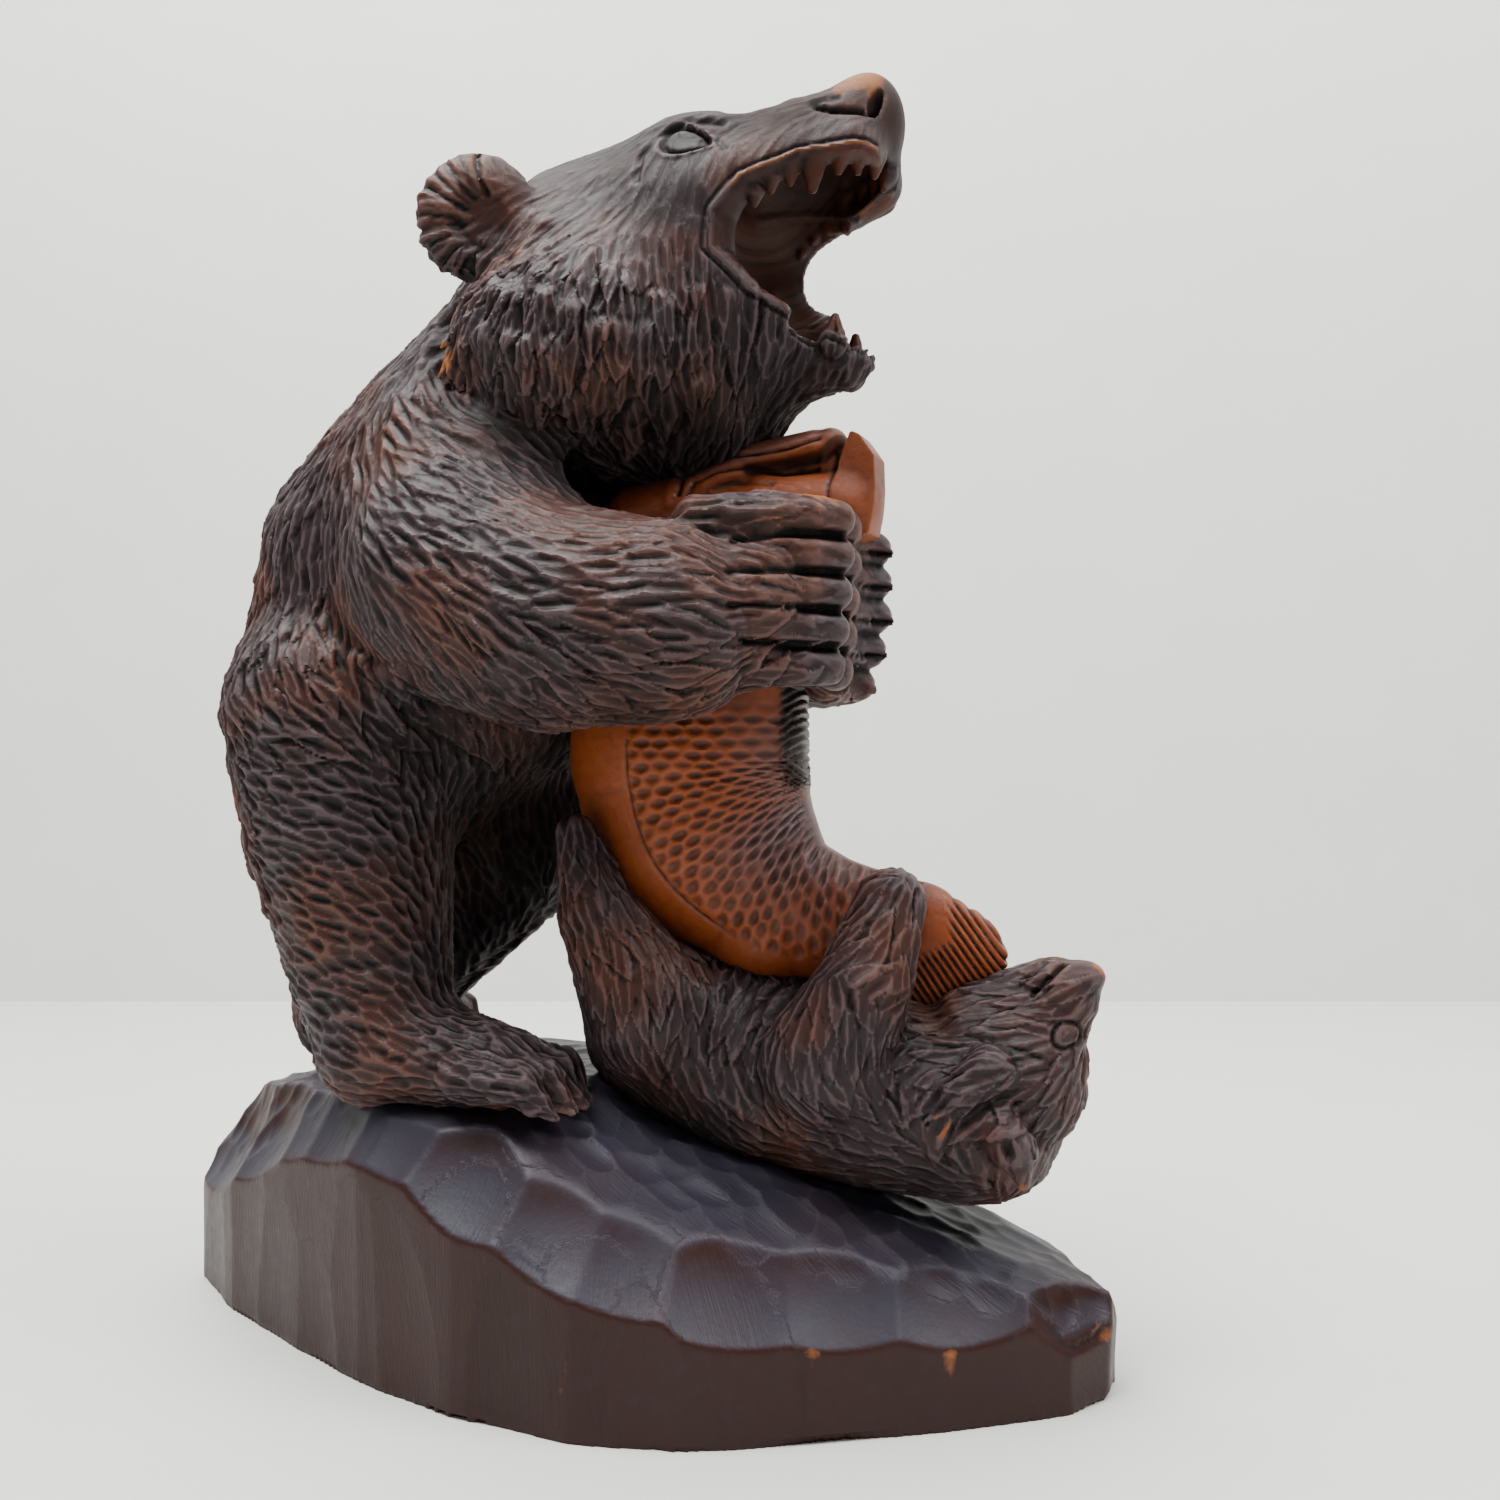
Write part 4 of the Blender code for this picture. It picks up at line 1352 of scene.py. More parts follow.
@dataclass
class BearBody:
    """Chest, back, shoulders, the arms round the fish, and the hind legs. Sizes in millimetres."""

    step: float = 1.0
    limit: int = 400_000
    seams: tuple = (232.0, 314.0)
    neck: tuple = ((-50, 56, 404, 7), (-46, 66, 388, 9), (-34, 74, 374, 10), (-12, 78, 362, 11),
                   (12, 76, 354, 12), (38, 66, 350, 12))
    fingers: int = 5
    finger: float = 6.8
    toes: int = 4
    toe: float = 7.0
    lock_seed: int = 8
    trunk: tuple = (
        (((-109, 0, 262, 60), (-91, 0, 312, 65), (-52, 0, 348, 66), (-20, 0, 388, 58)), 1.12),
        (((-100, 0, 235, 50), (-62, 0, 270, 52), (-34, 0, 318, 50)), 1.1),
    )
    legs: tuple = (
        ((-102, -40, 250, 50), (-97, -46, 205, 42), (-85, -50, 150, 33), (-77, -52, 124, 28)),
        ((-90, 38, 245, 52), (-72, 43, 205, 45), (-122, 40, 150, 35), (-152, 38, 122, 26)),
    )
    feet: tuple = (((-77, -52, 120, 24), (-20, -60, 116, 16)), ((-154, 38, 112, 22), (-122, 42, 110, 15)))
    arms: tuple = (
        ((-40, -52, 304, 49), (0, -62, 287, 43), (45, -60, 284, 37), (67, -48, 290, 29)),
        ((-40, 52, 304, 49), (0, 60, 287, 42), (40, 56, 284, 34), (66, 42, 288, 27)),
    )

    def masses(self, clay: Clay) -> None:
        """Melt trunk, shoulders, arms, legs and feet together and hollow the chest.

        Args:
            clay: The block of clay.
        """
        for stations, wide in self.trunk:
            clay.add(Limb(stations, wide), 12)
        for leg in self.legs:
            clay.add(Limb(leg), 10)
        for foot in self.feet:
            clay.add(Limb(foot, 1.2), 10)
        for side in SIDES:
            clay.add(Ball((-46, side * 44, 324), (54, 39, 56)), 12)
        for arm in self.arms:
            clay.add(Limb(arm), 12)
        self.hands(clay)
        self.paws(clay)
        for side in SIDES:
            clay.carve(Ball((8, side * 34, 340), (28, 19, 14), (0, 14, 0)), 6)
            clay.carve(Ball((-6, side * 10, 322), (16, 24, 22)), 6)
            clay.carve(Limb(tuple((x, side * y, z, radius) for x, y, z, radius in self.neck)), 4)

    def hands(self, clay: Clay) -> None:
        """Stack the fingers on the back of the fish, the far ones angular and standing out past the near.

        Args:
            clay: The block of clay.
        """
        for side, outer in ((-1, 6), (1, -6)):
            for number in range(self.fingers):
                share = number / (self.fingers - 1)
                z = 321 - 54 * share + (outer - 6) / 3
                back = 4 * share ** 2 if side < 0 else 18 * max(0.0, share - 0.6)
                clay.add(Limb((
                    (58, side * (52 + outer), z - 1, self.finger * 1.5),
                    (80 - back, side * (46 + outer), z + 1, self.finger * 1.36),
                    (97 - back, side * (37 + 1.4 * outer), z + 0.5, self.finger * 1.2),
                    (105 - back, side * (28 + 1.8 * outer), z, self.finger * 1.02),
                )), 2.5)
                clay.add(Limb(((96 - back, 0, z, 8), (100 - back, side * 14, z, 8))), 2.0)
                if side > 0:
                    clay.add(Limb(((103 - back, 16, z + 2, 6.0), (112 - back, 14, z - 2.5, 2.0))), 1.0)

    def paws(self, clay: Clay) -> None:
        """Put the toes and claws on the plinth.

        Args:
            clay: The block of clay.
        """
        for side, tip in ((-1, -10), (1, -114)):
            for number in range(self.toes):
                y = side * (44 if side < 0 else 28) + side * 32 * number / (self.toes - 1)
                front = tip + 6 * math.sin(math.pi * (number + 1) / (self.toes + 1))
                clay.add(Limb(((front - 24, y, 117, self.toe * 1.4), (front + 2, y, 114, self.toe * 1.3),
                               (front + 8, y, 108, self.toe * 0.9), (front + 15, y, 103, 2.6))), 3.0)

    def locks(self, clay: Clay, coarse: Skin) -> None:
        """Hang locks under the arm and from the far thigh.

        Args:
            clay: The block of clay.
            coarse: A rough skin of the body, to find its surface.
        """
        chance = np.random.default_rng(self.lock_seed)
        for side in SIDES:
            row = [(x, side * y, z) for x, y, z in (
                (-70, 66, 262), (-44, 80, 254), (-4, 88, 250), (34, 82, 252))]
            lock_row(clay, coarse, row, 12, (0.7, 0, -1), 22, 7, 0.06, chance)
        for row, count in (([(-44, 46, 178), (-104, 46, 132)], 9),
                           ([(-50, -20, 200), (-64, 10, 196), (-52, 40, 190)], 8)):
            lock_row(clay, coarse, row, count, (0.2, 0, -1), 22, 7, 0.12, chance)
        for row in ([(-180, -24, 216), (-184, 10, 210), (-176, 40, 202)],
                    [(-168, -14, 188), (-168, 30, 180)]):
            lock_row(clay, coarse, row, 6, (-0.3, 0, -1), 24, 8, 0.16, chance)

    def shaggy(self, points: Array) -> Array:
        """Tell how deep the long fur is: deepest under the arm and on the back.

        Args:
            points: Points in millimetres.

        Returns:
            A share for each point.
        """
        under = smoothstep(300, 265, points[:, 2] + 0.05 * points[:, 0])
        back = smoothstep(-70, -110, points[:, 0])
        legs = smoothstep(236, 216, points[:, 2]) * smoothstep(-128, -118, points[:, 0])
        return (0.35 + 0.65 * np.maximum(under, back)) * (1 - 0.8 * legs) * self.furry(points)

    def furry(self, points: Array) -> Array:
        """Tell how deep the fur is cut: shallow on fingers, toes and the palms.

        Args:
            points: Points in millimetres.

        Returns:
            A share for each point.
        """
        hand = smoothstep(98, 84, points[:, 0])
        toes = 1 - smoothstep(-20, -8, points[:, 0]) * smoothstep(150, 140, points[:, 2])
        return 0.22 + 0.78 * np.minimum(hand, toes)

    def long_fur(self, points: Array) -> Array:
        """Tell where the long fur of body and arms lies."""
        return self.furry(points) * (1 - self.leg_fur(points))

    def leg_fur(self, points: Array) -> Array:
        """Tell where the short scalloped fur of the legs lies."""
        return smoothstep(250, 225, points[:, 2]) * smoothstep(-132, -122, points[:, 0])

    def build(self, finish: StainedWood) -> None:
        """Carve the body in one skin and part it at two level seams, above the haunches and at the shoulders.

        Args:
            finish: The finish it gets.
        """
        low, high = (-196, -118, 78), (136, 118, 456)
        rough = Clay(low, high, 4.0)
        self.masses(rough)
        clay = Clay(low, high, self.step)
        self.masses(clay)
        self.locks(clay, rough.skin("rough"))
        skin = clay.skin("bear_body")
        gouge(skin, BEAR_COMB, Pass(Cut.LOCK, 32, 9, 1.8, 21, self.shaggy))
        gouge(skin, BEAR_COMB, Pass(Cut.SCOOP, 24, 6.2, 1.6, 22, self.long_fur))
        gouge(skin, BEAR_COMB, Pass(Cut.SCOOP, 17, 6.4, 1.9, 24, self.leg_fur))
        clefts = [(((74 + 2 * i, 312 - 12.5 * i), (92, 314.5 - 13.5 * i), (116, 314 - 13.5 * i)),
                   1.5, 2.4, 0.8) for i in range(4)]
        incise(skin, clefts)
        weather(skin)
        wear_and_shade(skin, ((98, -43, 330, 8, 1.0), (84, -54, 318, 6, 0.6), (60, -90, 270, 18, 0.12),
                   (-20, -96, 262, 16, 0.1), (-150, -50, 250, 14, 0.45), (-130, -62, 215, 14, 0.5),
                   (-112, -82, 190, 12, 0.4),
                   (-64, -62, 352, 10, 0.3), (10, -100, 293, 9, 0.3), (-60, -80, 300, 10, 0.3)))
        # Painted shade: under the ruff's hem and the neck, in the belly and between the legs, under the
        # chest, the arms and the hands.
        wear_and_shade(skin, both_sides((
            (-36, 78, 370, 7, 1.0), (-47, 68, 386, 6, 1.0), (-51, 58, 400, 5, 0.8), (-22, 80, 362, 7, 1.0),
            (0, 80, 354, 8, 1.0), (-40, 6, 200, 34, 1.0), (-20, 0, 240, 32, 1.0),
            (-60, 14, 160, 26, 1.0), (-6, 84, 244, 14, 0.7),
            (34, 72, 248, 14, 0.7), (-44, 60, 236, 18, 0.8), (10, 30, 330, 26, 1.0), (-14, 66, 356, 10, 0.8),
            (20, 64, 346, 12, 0.9), (96, 30, 268, 10, 0.5))), "dark")
        skin = skin.thinned(self.limit, self.seams)
        floor = np.searchsorted(self.seams, skin.points[skin.faces].mean(1)[:, 2])
        for number, name in enumerate(("haunches_and_feet", "arms_and_chest", "shoulders_and_back")):
            skin.part(name, floor == number).to_object(finish.material())


@dataclass
class Cub:
    """The cub on its back, biting the tail of the fish. Sizes in millimetres."""

    step: float = 0.9
    limit: int = 150_000
    eye: tuple = (185.0, 133.0)
    eye_radius: float = 4.7

    def masses(self, clay: Clay) -> None:
        """Melt body, head and limbs of the cub together.

        Args:
            clay: The block of clay.
        """
        clay.add(Limb(((26, 0, 128, 36), (66, 0, 112, 38), (110, 0, 106, 38), (140, 0, 102, 35)), 1.2), 8)
        clay.add(Limb(((150, 0, 102, 36), (160, 0, 112, 30)), 1.1), 6)
        clay.add(Limb(((164, 0, 122, 24), (181, 0, 144, 14)), 1.15), 8)
        clay.add(Ball((189, 0, 152), (8, 9, 6)), 3)
        clay.add(Limb(((150, 0, 132, 18), (176, 0, 150, 9)), 1.2), 4)
        for side in SIDES:
            clay.add(Limb(((28, side * 32, 136, 26), (8, side * 36, 172, 16), (-2, side * 36, 204, 8))), 8)
            paw = (122, side * 26, 180, 13) if side < 0 else (118, side * 24, 166, 11)
            clay.add(Limb(((100, side * 36, 122, 24), (114, side * 36, 150, 18), paw)), 5)
            ear = ((162, side * 33, 103, 9), (169, side * 37, 95, 8.0), (173, side * 38, 84, 2.6))
            clay.add(Limb(ear), 3)
            clay.carve(Ball((168, side * 46, 97), (2.8, 4, 5.0), (0, -20, 0)), 1.5)
            cheek = ((160, side * 33, 122, 9), (150, side * 38, 113, 7), (145, side * 41, 103, 1.0))
            clay.add(Limb(cheek), 3)

    def furry(self, points: Array) -> Array:
        """Tell how deep the fur is: none on nose and eye.

        Args:
            points: Points in millimetres.

        Returns:
            A share for each point.
        """
        eye = smoothstep(1.2, 1.9, self.eye_gap(points))
        nose = smoothstep(8, 16, np.linalg.norm(points - np.array([194, 0, 154]), axis=1))
        ear = smoothstep(8, 14, np.linalg.norm(np.abs(points) - np.array([171, 38, 93]), axis=1))
        return eye * nose * (0.3 + 0.7 * ear)

    def eye_gap(self, points: Array) -> Array:
        """Measure how far from the middle of an eye a point is, 1 on its rim."""
        gap = np.hypot(points[:, 0] - self.eye[0], points[:, 2] - self.eye[1]) / self.eye_radius
        return np.where(np.abs(points[:, 1]) > 8, gap, 9.0)

    def build(self, finish: StainedWood) -> None:
        """Carve the cub.

        Args:
            finish: The finish it gets.
        """
        clay = Clay((-24, -66, 52), (208, 66, 222), self.step)
        self.masses(clay)
        skin = clay.skin("cub")
        gouge(skin, CUB_COMB, Pass(Cut.LOCK, 26, 8.0, 1.2, 41, self.furry))
        gouge(skin, CUB_COMB, Pass(Cut.SCOOP, 22, 6.2, 1.2, 42, self.furry))
        ring = [(self.eye[0] + self.eye_radius * math.cos(a), self.eye[1] + self.eye_radius * math.sin(a))
                for a in np.linspace(0, 2 * math.pi, 25)]
        incise(skin, (
            (ring, 0.8, 1.2, 0.7), (((172, 147), (186, 161)), 1.0, 2.0, 0.7),
            (((168, 150), (181, 163)), 0.9, 0.8, 0.3),
            (((150, 133), (165, 131), (180, 124)), 1.2, 0.7, 0.2),
        ))
        weather(skin)
        wear_and_shade(skin, ((196, 0, 156, 4, 1.0), (171, -40, 80, 4, 0.8), (92, -50, 118, 7, 0.6),
                   (100, -50, 104, 6, 0.4), (145, -42, 103, 4, 0.8), (66, -46, 100, 10, 0.4),
                   (170, -26, 122, 8, 0.4), (96, -50, 96, 8, 0.5)))
        # Painted shade along the cub's underside.
        under = ((30, 96), (52, 80), (74, 70), (96, 66), (118, 64), (140, 66))
        wear_and_shade(skin, both_sides([(x, 38, z, 13, 0.9) for x, z in under]), "dark")
        skin.thinned(self.limit).to_object(finish.material())


@dataclass
class Salmon:
    """The fish, head up between the paws, its tail in the cub's mouth. Sizes in millimetres."""

    step: float = 0.8
    limit: int = 130_000
    pitch_along: float = 4.5
    pitch_across: float = 8.2
    ray_pitch: float = 2.7
    crown: float = 345.0
    spine: float = 34.0
    bend_from: float = 232.0
    bend_radius: float = 62.0
    scale_depth: float = 1.15
    ray_depth: float = 1.1

    def masses(self, clay: Clay) -> None:
        """Melt the fish together and cut its mouth.

        Args:
            clay: The block of clay.
        """
        clay.add(Limb(((34, 0, 330, 26), (36, 0, 290, 44), (31, 0, 236, 50), (36, 0, 205, 46)), 0.72), 6)
        clay.add(Limb(((36, 0, 205, 46), (64, 0, 176, 34), (104, 0, 168, 21)), 0.7), 8)
        clay.add(Limb(((104, 0, 170, 20), (126, 0, 166, 20), (142, 0, 160, 17)), 0.5), 6)
        clay.add(Limb(((112, 0, 150, 14), (132, 0, 148, 13), (150, 0, 157, 11)), 0.6), 4)
        clay.add(Limb(((34, 0, 318, 26), (66, 0, 330, 18), (97, 0, 331, 14)), 1.1), 2)
        strip = ((18, 0, 326, 20), (44, 0, 338, 13), (60, 0, 349.5, 9), (86, 0, 354.5, 8), (92, 0, 357, 6))
        clay.add(Limb(strip, 1.7), 2)
        jaw = ((109, 320), (111.5, 338), (111, 350), (105, 358.5), (101.5, 360), (97, 348), (95, 330),
               (98, 316))
        clay.add(Wedge(jaw, jaw, 20.0, 9.0), 4)
        clay.add(Limb(((84, 0, 344, 7), (99, 0, 350, 5.5))), 1)
        for side in SIDES:
            clay.carve(Ball((120, side * 60, 334), (26, 52, 46)), 1.0)
        path = ((56, 345.5, 0.8), (66, 347, 1.8), (76, 347.5, 2.8), (88, 349.5, 3.2), (95, 354, 2.0),
                (98.5, 366, 1.4))
        for side in SIDES:
            slit = tuple((x, side * 26, z, r) for x, z, r in path)
            clay.carve(Limb(slit, 6.6), 0.8)

    def place_on_fish(self, points: Array) -> tuple[Array, Array]:
        """Give the distance along the fish from its head, and across it, with the back positive.

        Args:
            points: Points in millimetres.

        Returns:
            The distance along and the distance across.
        """
        right = points[:, 0] - self.spine - self.bend_radius
        up = points[:, 2] - self.bend_from
        straight = self.crown - self.bend_from
        angle = np.clip(np.arctan2(-up, -right), 0, math.pi / 2)
        along = np.where(up > 0, self.crown - points[:, 2], straight + self.bend_radius * angle)
        along += np.where((up <= 0) & (right > 0), right, 0)
        across = self.bend_radius - np.hypot(right, up)
        across = np.where(right > 0, self.bend_radius + up, across)
        across = np.where(up > 0, self.bend_radius + right, across)
        return along, across

    def dimples(self, along: Array, across: Array) -> Array:
        """Give the staggered hollows of the scales: 0 between them, 1 in the middle of one.

        Args:
            along: The distance along the fish, from its head.
            across: The distance across it.

        Returns:
            The depth of the hollow at each point, as a share.
        """
        row = np.floor(along / self.pitch_along)
        best = np.zeros(len(along))
        for i in (-1, 0, 1):
            line = row + i
            shift = (line % 2) * self.pitch_across / 2
            column = np.floor((across + shift) / self.pitch_across)
            for j in (-1, 0, 1):
                chance = np.modf(np.abs(np.sin(line * 12.9898 + (column + j) * 78.233)) * 437.58)[0]
                other = np.modf(chance * 91.7)[0]
                mid_along = (line + 0.5 + 0.3 * (other - 0.5)) * self.pitch_along
                mid_across = (column + j + 0.5) * self.pitch_across - shift + 2.2 * (chance - 0.5)
                up = along - mid_along
                bow = up + 0.03 * (across - mid_across) ** 2
                gap = (bow / 2.2) ** 2 + np.abs((across - mid_across) / 4.5) ** 1.7
                best = np.maximum(best, (0.6 + 0.5 * other) * (1 - gap))
        return best

    def scales(self, skin: Skin) -> None:
        """Dimple the scales in staggered rows, rib the fins, and stain the back.

        Args:
            skin: The skin.
        """
        along, across = self.place_on_fish(skin.points)
        flank = smoothstep(0.15, 0.45, np.abs(skin.normals[:, 1]))
        scaled = flank * smoothstep(-17, -12, across) * smoothstep(86, 98, along)
        scaled *= smoothstep(250, 238, along)
        bite = self.dimples(along, across)
        height = -self.scale_depth * bite * scaled
        line = flank * peak(across, -15, 0.7) * smoothstep(98, 112, along)
        line *= smoothstep(182, 170, along)
        height -= 0.5 * line
        fin = smoothstep(40, 43, across) * smoothstep(70, 76, along) * smoothstep(158, 142, along)
        height += fin * (0.55 * np.sin(2 * math.pi * (along + 1.1 * across) / 3.6) + 0.6)
        ray = skin.points[:, 0] * 0.83 + skin.points[:, 2] * 0.55
        margin = line_gap(skin.points[:, (0, 2)], ((114, 130), (161, 153), (158, 178)))
        fan = smoothstep(21, 15, margin) * smoothstep(108, 114, skin.points[:, 0])
        fan *= smoothstep(222, 232, along)
        cut = np.abs(np.sin(math.pi * (ray + 0.0022 * (skin.points[:, 2] - 150) ** 2) / self.ray_pitch)) ** 3
        height -= self.ray_depth * fan * cut
        skin.push(height, skin.soft_normals(3))
        shadow = scaled * smoothstep(0.2, 0.8, bite) * 0.55
        # The stained mark carries painted shade in the scale hollows besides the stain of the fins, lateral
        # line and tail rays.
        stained = np.maximum.reduce([shadow, 0.4 * line, fin * 0.95, fan * cut * 0.85])
        skin.marks["stained"] = np.clip(stained, 0, 1)
        grey = smoothstep(-14, 30, across) * smoothstep(132, 172, along) * smoothstep(262, 240, along)
        grey = np.maximum(0.9 * grey, 0.65 * smoothstep(16, 44, across) * smoothstep(80, 110, along))
        crown = smoothstep(345, 352, skin.points[:, 2] + 0.28 * (60 - skin.points[:, 0]))
        skin.marks["flesh"] = 1.0 - np.maximum(grey, 0.55 * crown * smoothstep(98, 94, skin.points[:, 0]))
        skin.marks["across"] = across * 0.5
        skin.marks["along"] = along
        skin.marks["tone"] = np.clip(bite, 0, 1)

    def head_lines(self, skin: Skin) -> None:
        """Cut the lips round the mouth slit and the edge of the cheek.

        Args:
            skin: The skin.
        """
        incise(skin, (
            (((37, 336), (37, 344), (43, 350), (55, 352), (66, 352), (78, 353), (90, 357)), 1.0, 1.6, 0.15),
            (((40, 334), (42, 341), (50, 345.5), (62, 346.5), (76, 344.5), (88, 346)), 1.2, 1.3, 0.1),
            (((33, 332), (33, 346), (42, 354), (56, 356)), 1.6, -0.6, 0.0),
            (((46, 330), (48, 338), (56, 341), (72, 340)), 1.4, 0.8, 0.15),
            (((95.5, 352), (94, 338), (96, 322)), 1.0, 1.0, 0.12),
        ))

    def build(self, finish: StainedWood) -> None:
        """Carve the fish.

        Args:
            finish: The finish it gets.
        """
        clay = Clay((-30, -48, 128), (176, 48, 386), self.step)
        self.masses(clay)
        skin = clay.skin("salmon")
        skin.relax(1)
        self.scales(skin)
        self.head_lines(skin)
        weather(skin, 0.8)
        # Painted shade in the mouth slit, under the arms and by the jaw.
        slit = ((62, 346), (76, 347.5), (90, 350), (97, 357))
        void = smoothstep(3.0, 1.6, line_gap(skin.points[:, (0, 2)], slit))
        skin.raise_mark("dark", 0.9 * void)
        under_arms = [(x, 30, z, 12, 0.8) for x, z in ((10, 266), (36, 262), (62, 262), (80, 258))]
        wear_and_shade(skin, both_sides(under_arms) + [(108, 0, 344, 16, 0.5), (96, 0, 354, 5, 0.9)], "dark")
        skin.thinned(self.limit).to_object(finish.material())


@dataclass(frozen=True)
class Hewn:
    """The plinth's block, from outlines along its length.

    The outlines near and far give the half width on each side, as shares of the whole. The outlines wall,
    band and top give heights in millimetres: at the edge, a quarter of the way in, and well inside.
    """

    long: float = 401.0
    wide: float = 212.0
    near: tuple = ((0, 0.08), (0.03, 0.18), (0.1, 0.39), (0.22, 0.62), (0.33, 0.82), (0.45, 0.95),
                   (0.57, 1.0), (0.67, 0.94), (0.77, 0.74), (0.87, 0.52), (0.97, 0.26), (1, 0.09))
    far: tuple = ((0, 0.34), (0.03, 0.5), (0.1, 0.66), (0.22, 0.8), (0.33, 0.9), (0.45, 0.95), (0.57, 1.0),
                  (0.67, 0.94), (0.77, 0.74), (0.87, 0.52), (0.97, 0.26), (1, 0.09))
    wall: tuple = ((0, 50), (0.06, 62), (0.18, 82), (0.3, 94), (0.42, 88), (0.5, 70), (0.6, 57),
                   (0.72, 46), (1, 36))
    band: tuple = ((0, 56), (0.06, 80), (0.18, 95), (0.3, 101), (0.46, 98), (0.57, 78), (0.7, 62), (0.85, 50),
                   (1, 37))
    top: tuple = ((0, 58), (0.06, 86), (0.18, 98), (0.3, 103), (0.5, 108), (0.6, 90), (0.75, 73),
                  (0.87, 56), (1, 37))

    def read(self, knots: tuple, place: Array) -> Array:
        """Read an outline at places along the plinth."""
        return np.interp(place, [k[0] for k in knots], [k[1] for k in knots])

    def half_width(self, x: Array, y: Array) -> Array:
        """Give the half width of the plinth at x, on the side that y lies."""
        place = np.clip(x / self.long + 0.5, 0, 1)
        return np.where(y < 0, self.read(self.near, place), self.read(self.far, place)) * self.wide / 2

    def box(self) -> tuple[Array, Array]:
        """Give the lowest and highest corner."""
        half = np.array([self.long / 2, self.wide / 2, 0.0])
        return -half, half + np.array([0, 0, 110.0])

    def distance(self, x: Array, y: Array, z: Array) -> Array:
        """Measure roughly how far points are from the block.

        Args:
            x: X of the points.
            y: Y of the points.
            z: Z of the points.

        Returns:
            The distance, negative inside.
        """
        place = np.clip(x / self.long + 0.5, 0, 1)
        half = self.half_width(x, y)
        share = np.abs(y) / half
        wall, band, top = (self.read(k, place) for k in (self.wall, self.band, self.top))
        lid = np.where(share < 0.4, top, np.where(share < 0.76, top + (band - top) * (share - 0.4) / 0.36,
                                                  band + (wall - band) * (share - 0.76) / 0.24))
        gap = np.maximum(np.maximum((np.abs(y) - half) * 0.85, (z - lid) * 0.8), -z)
        return np.maximum(gap, np.abs(x) - self.long / 2).astype(np.float32)


@dataclass
class Plinth:
    """The hewn plinth with big facets cut off its rim. Sizes in millimetres."""

    step: float = 1.5
    limit: int = 100_000
    facet_radius: float = 112.0
    facet_depth: float = 7.5
    sole: float = 1.4
    block: Hewn = Hewn()

    def lidded(self, points: Array) -> Array:
        """Tell how near the top edge of the wall a point is: 0 at its foot, 1 at the edge, more above it."""
        place = np.clip(points[:, 0] / self.block.long + 0.5, 0, 1)
        return np.clip(points[:, 2] / self.block.read(self.block.wall, place), 0, 1.5)

    def inner(self, points: Array) -> Array:
        """Tell how far in from the rim a point on the top is: 0 at the rim, 1 well inside."""
        share = np.abs(points[:, 1]) / self.block.half_width(points[:, 0], points[:, 1])
        return smoothstep(0.74, 0.64, share) * smoothstep(0.9, 1.02, self.lidded(points))

    def wall_share(self, points: Array) -> Array:
        """Tell where the plain walls below the facets are."""
        return smoothstep(0.66, 0.4, self.lidded(points))

    def rim_facets(self, clay: Clay) -> None:
        """Cut a row of big, nearly flat facets off the rim.

        Args:
            clay: The clay of the plinth.
        """
        for side in SIDES:
            x = -190.0
            while x < 194:
                half = float(self.block.half_width(np.array(x), np.array(side)))
                slope = half - float(self.block.half_width(np.array(x + 4), np.array(side)))
                wall = float(self.block.read(self.block.wall, x / self.block.long + 0.5))
                lean = unit(np.array([0.18 * slope, side * 0.72, 0.69]))
                depth = self.facet_depth + 1.2 * math.sin(2.3 * x)
                centre = np.array([x, side * half, wall]) + lean * (self.facet_radius - depth)
                clay.carve(Ball(tuple(centre), (self.facet_radius,) * 3), 0.3)
                x += 33 + 7 * math.sin(x * 1.7)

    def build(self, finish: StainedWood) -> None:
        """Carve the plinth.

        Args:
            finish: The finish it gets.
        """
        clay = Clay((-206, -112, -5), (206, 112, 114), self.step)
        low, high = self.block.box()
        cut, lines = clay.window(low - 4, high + 4)
        clay.field[cut] = self.block.distance(*lines)
        self.rim_facets(clay)
        skin = clay.skin("hewn_plinth")
        skin.relax(1)
        gouge(skin, PLINTH_COMB, Pass(Cut.SCOOP, 90, 46, 1.3, 51, self.wall_share, facing=0.7))
        gouge(skin, PLINTH_COMB, Pass(Cut.SCOOP, 26, 15, 1.3, 53, self.inner))
        skin.points[:, 2] = np.where(skin.points[:, 2] < self.sole, 0.0, skin.points[:, 2])
        skin.refresh()
        weather(skin, 0.5)
        # Less painted shade in the plinth's hollows.
        skin.marks["dark"] *= 0.4
        skin.marks["flesh"] = smoothstep(0.60, 0.42, skin.soft_normals(2)[:, 2])
        scuffs = ((28, 25, 3), (31, 32, 2.5), (26, 18, 2.5), (34, 38, 2), (60, 21, 2.5), (61, 28, 2),
                  (59, 14, 2), (110, 38, 3), (107, 31, 3), (103, 24, 2.5), (100, 17, 2), (-142, 36, 2.5),
                  (-145, 43, 2), (-40, 50, 2.5), (-37, 43, 2), (150, 26, 2.5), (198, 26, 4), (-96, 30, 2),
                  (176, 14, 2.5))
        wear_and_shade(skin, [(x, -float(self.block.half_width(np.array(x), np.array(-1))), z, reach, 0.75)
                   for x, z, reach in scuffs])
        skin.thinned(self.limit).to_object(finish.material())


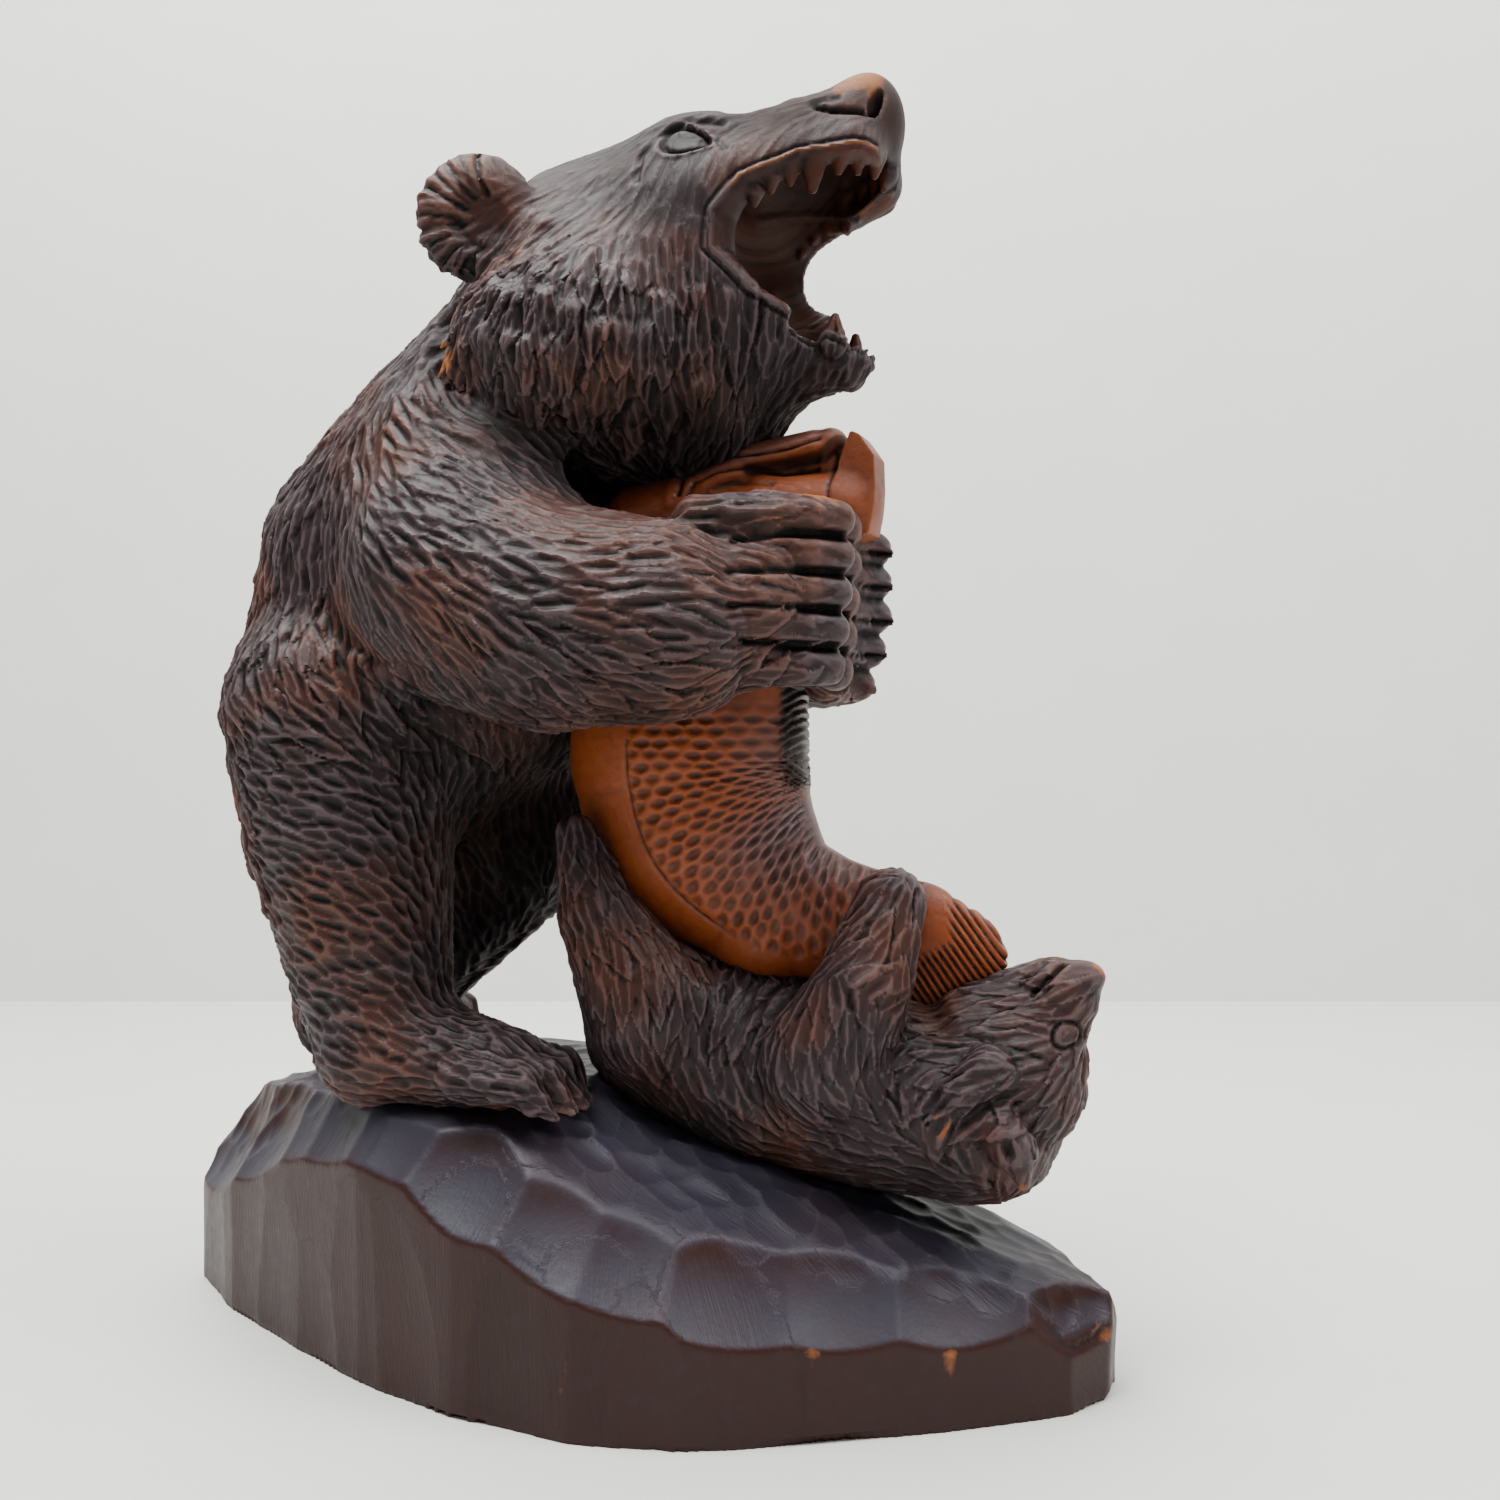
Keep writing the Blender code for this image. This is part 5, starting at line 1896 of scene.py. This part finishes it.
@dataclass
class Studio:
    """A pale floor and wall, soft light from a wide window above on the left, and a wash on the wall.

    Sizes are in metres here. The camera looks level, turned by so many degrees, through a lens as long as
    its sensor is wide, which is what a phone has.
    """

    floor_colour: str = "d9d9d6"
    wall_colour: str = "e2e3df"
    air_colour: str = "e8e9e7"
    air_strength: float = 0.34
    darker: float = 0.93
    paint_roughness: float = 0.7
    reach: float = 5.0
    wall_height: float = 3.2
    wall_gap: float = 1.41
    lamps: tuple = (("window", (-0.35, -0.3, 1.85), (0, 0, 0.25), 1.2, 84),
                    ("wall wash", (1.3, 0.1, 1.9), (0.5, 1.1, 0.5), 1.2, 50))
    camera: tuple = (0.2534, -0.5681, 0.2365)
    turn: float = 19.0
    lens: float = 36.0

    def surface(self, name: str, colour: str, size: float, places: Sequence) -> None:
        """Make one plain sheet of the room.

        Args:
            name: Its name.
            colour: Its colour.
            size: The size of the marks in its paint, in millimetres.
            places: Its four corners.
        """
        mesh = bpy.data.meshes.new(name)
        mesh.from_pydata([Vector(p) for p in places], [], [(0, 1, 2, 3)])
        made = put_in_scene(name, mesh)
        paint = bpy.data.materials.new(name)
        paint.use_nodes = True
        tree = paint.node_tree
        shader = tree.nodes["Principled BSDF"]
        place = node(tree, "ShaderNodeTexCoord", {}, "Object")
        marks = node(tree, NOISE, {"Vector": place, "Scale": 1000 / size, "Detail": 6.0})
        darker = tuple(c * self.darker for c in linear(colour)[:3]) + (1.0,)
        paint_colour = node(tree, MIX, {SHARE: marks, UNDER: linear(colour), OVER: darker}, COLOUR,
                            data_type="RGBA")
        tree.links.new(paint_colour, shader.inputs["Base Color"])
        shader.inputs["Roughness"].default_value = self.paint_roughness
        mesh.materials.append(paint)

    def light(self, name: str, place: Sequence, aim: Sequence, size: float, power: float) -> None:
        """Hang a soft square light.

        Args:
            name: Its name.
            place: Where it hangs.
            aim: What it points at.
            size: The length of its side.
            power: Its power in watts.
        """
        lamp = bpy.data.lights.new(name, "AREA")
        lamp.size = size
        lamp.energy = power
        made = put_in_scene(name, lamp)
        made.location = place
        made.rotation_euler = (Vector(aim) - Vector(place)).to_track_quat("-Z", "Y").to_euler()

    def build(self) -> None:
        """Set up the room, the light and the camera."""
        ahead = Vector((-math.sin(math.radians(self.turn)), math.cos(math.radians(self.turn)), 0))
        aside = Vector((ahead.y, -ahead.x, 0))
        foot = Vector((self.camera[0], self.camera[1], 0)) + ahead * self.wall_gap
        left, right, near = foot - aside * self.reach, foot + aside * self.reach, ahead * self.reach
        up = Vector((0, 0, self.wall_height))
        self.surface("floor", self.floor_colour, 60, (left - near, right - near, right, left))
        self.surface("wall", self.wall_colour, 90, (left, right, right + up, left + up))
        world = bpy.data.worlds.new("pale room")
        world.use_nodes = True
        air = world.node_tree.nodes["Background"].inputs
        air["Color"].default_value = linear(self.air_colour)
        air["Strength"].default_value = self.air_strength
        bpy.context.scene.world = world
        for lamp in self.lamps:
            self.light(*lamp)
        lens = bpy.data.cameras.new("camera")
        lens.lens = lens.sensor_width = self.lens
        camera = put_in_scene("camera", lens)
        camera.location = self.camera
        camera.rotation_euler = (math.radians(90), 0, math.radians(self.turn))
        bpy.context.scene.camera = camera


def main() -> None:
    """Build the carving part by part."""
    logging.basicConfig(level=logging.INFO, format="%(message)s")
    fur = StainedWood("dark stained carved wood")
    fish = StainedWood("orange stained carved wood", flesh="88411c", flesh_dark="2c1108", red="5e2410",
                       stain="4a3a3c", ridge="7c6a6a", deep="0d0806", roughness=0.36, sheen=0.28)
    side = StainedWood("worn dark stained plinth wood", stain="2c2a34", red="2e242c", deep="0c0a0a",
                       flesh="2d1713", flesh_dark="120907", roughness=0.42, sheen=0.22,
                       fleck_mm=6, patch_mm=60, ridge="46424e", red_ridge_highlight="4c3c3e")
    Studio().build()
    HeadAndRuff().build(fur)
    BearBody().build(fur)
    Cub().build(fur)
    Salmon().build(fish)
    Plinth().build(side)


if __name__ == "__main__":
    main()
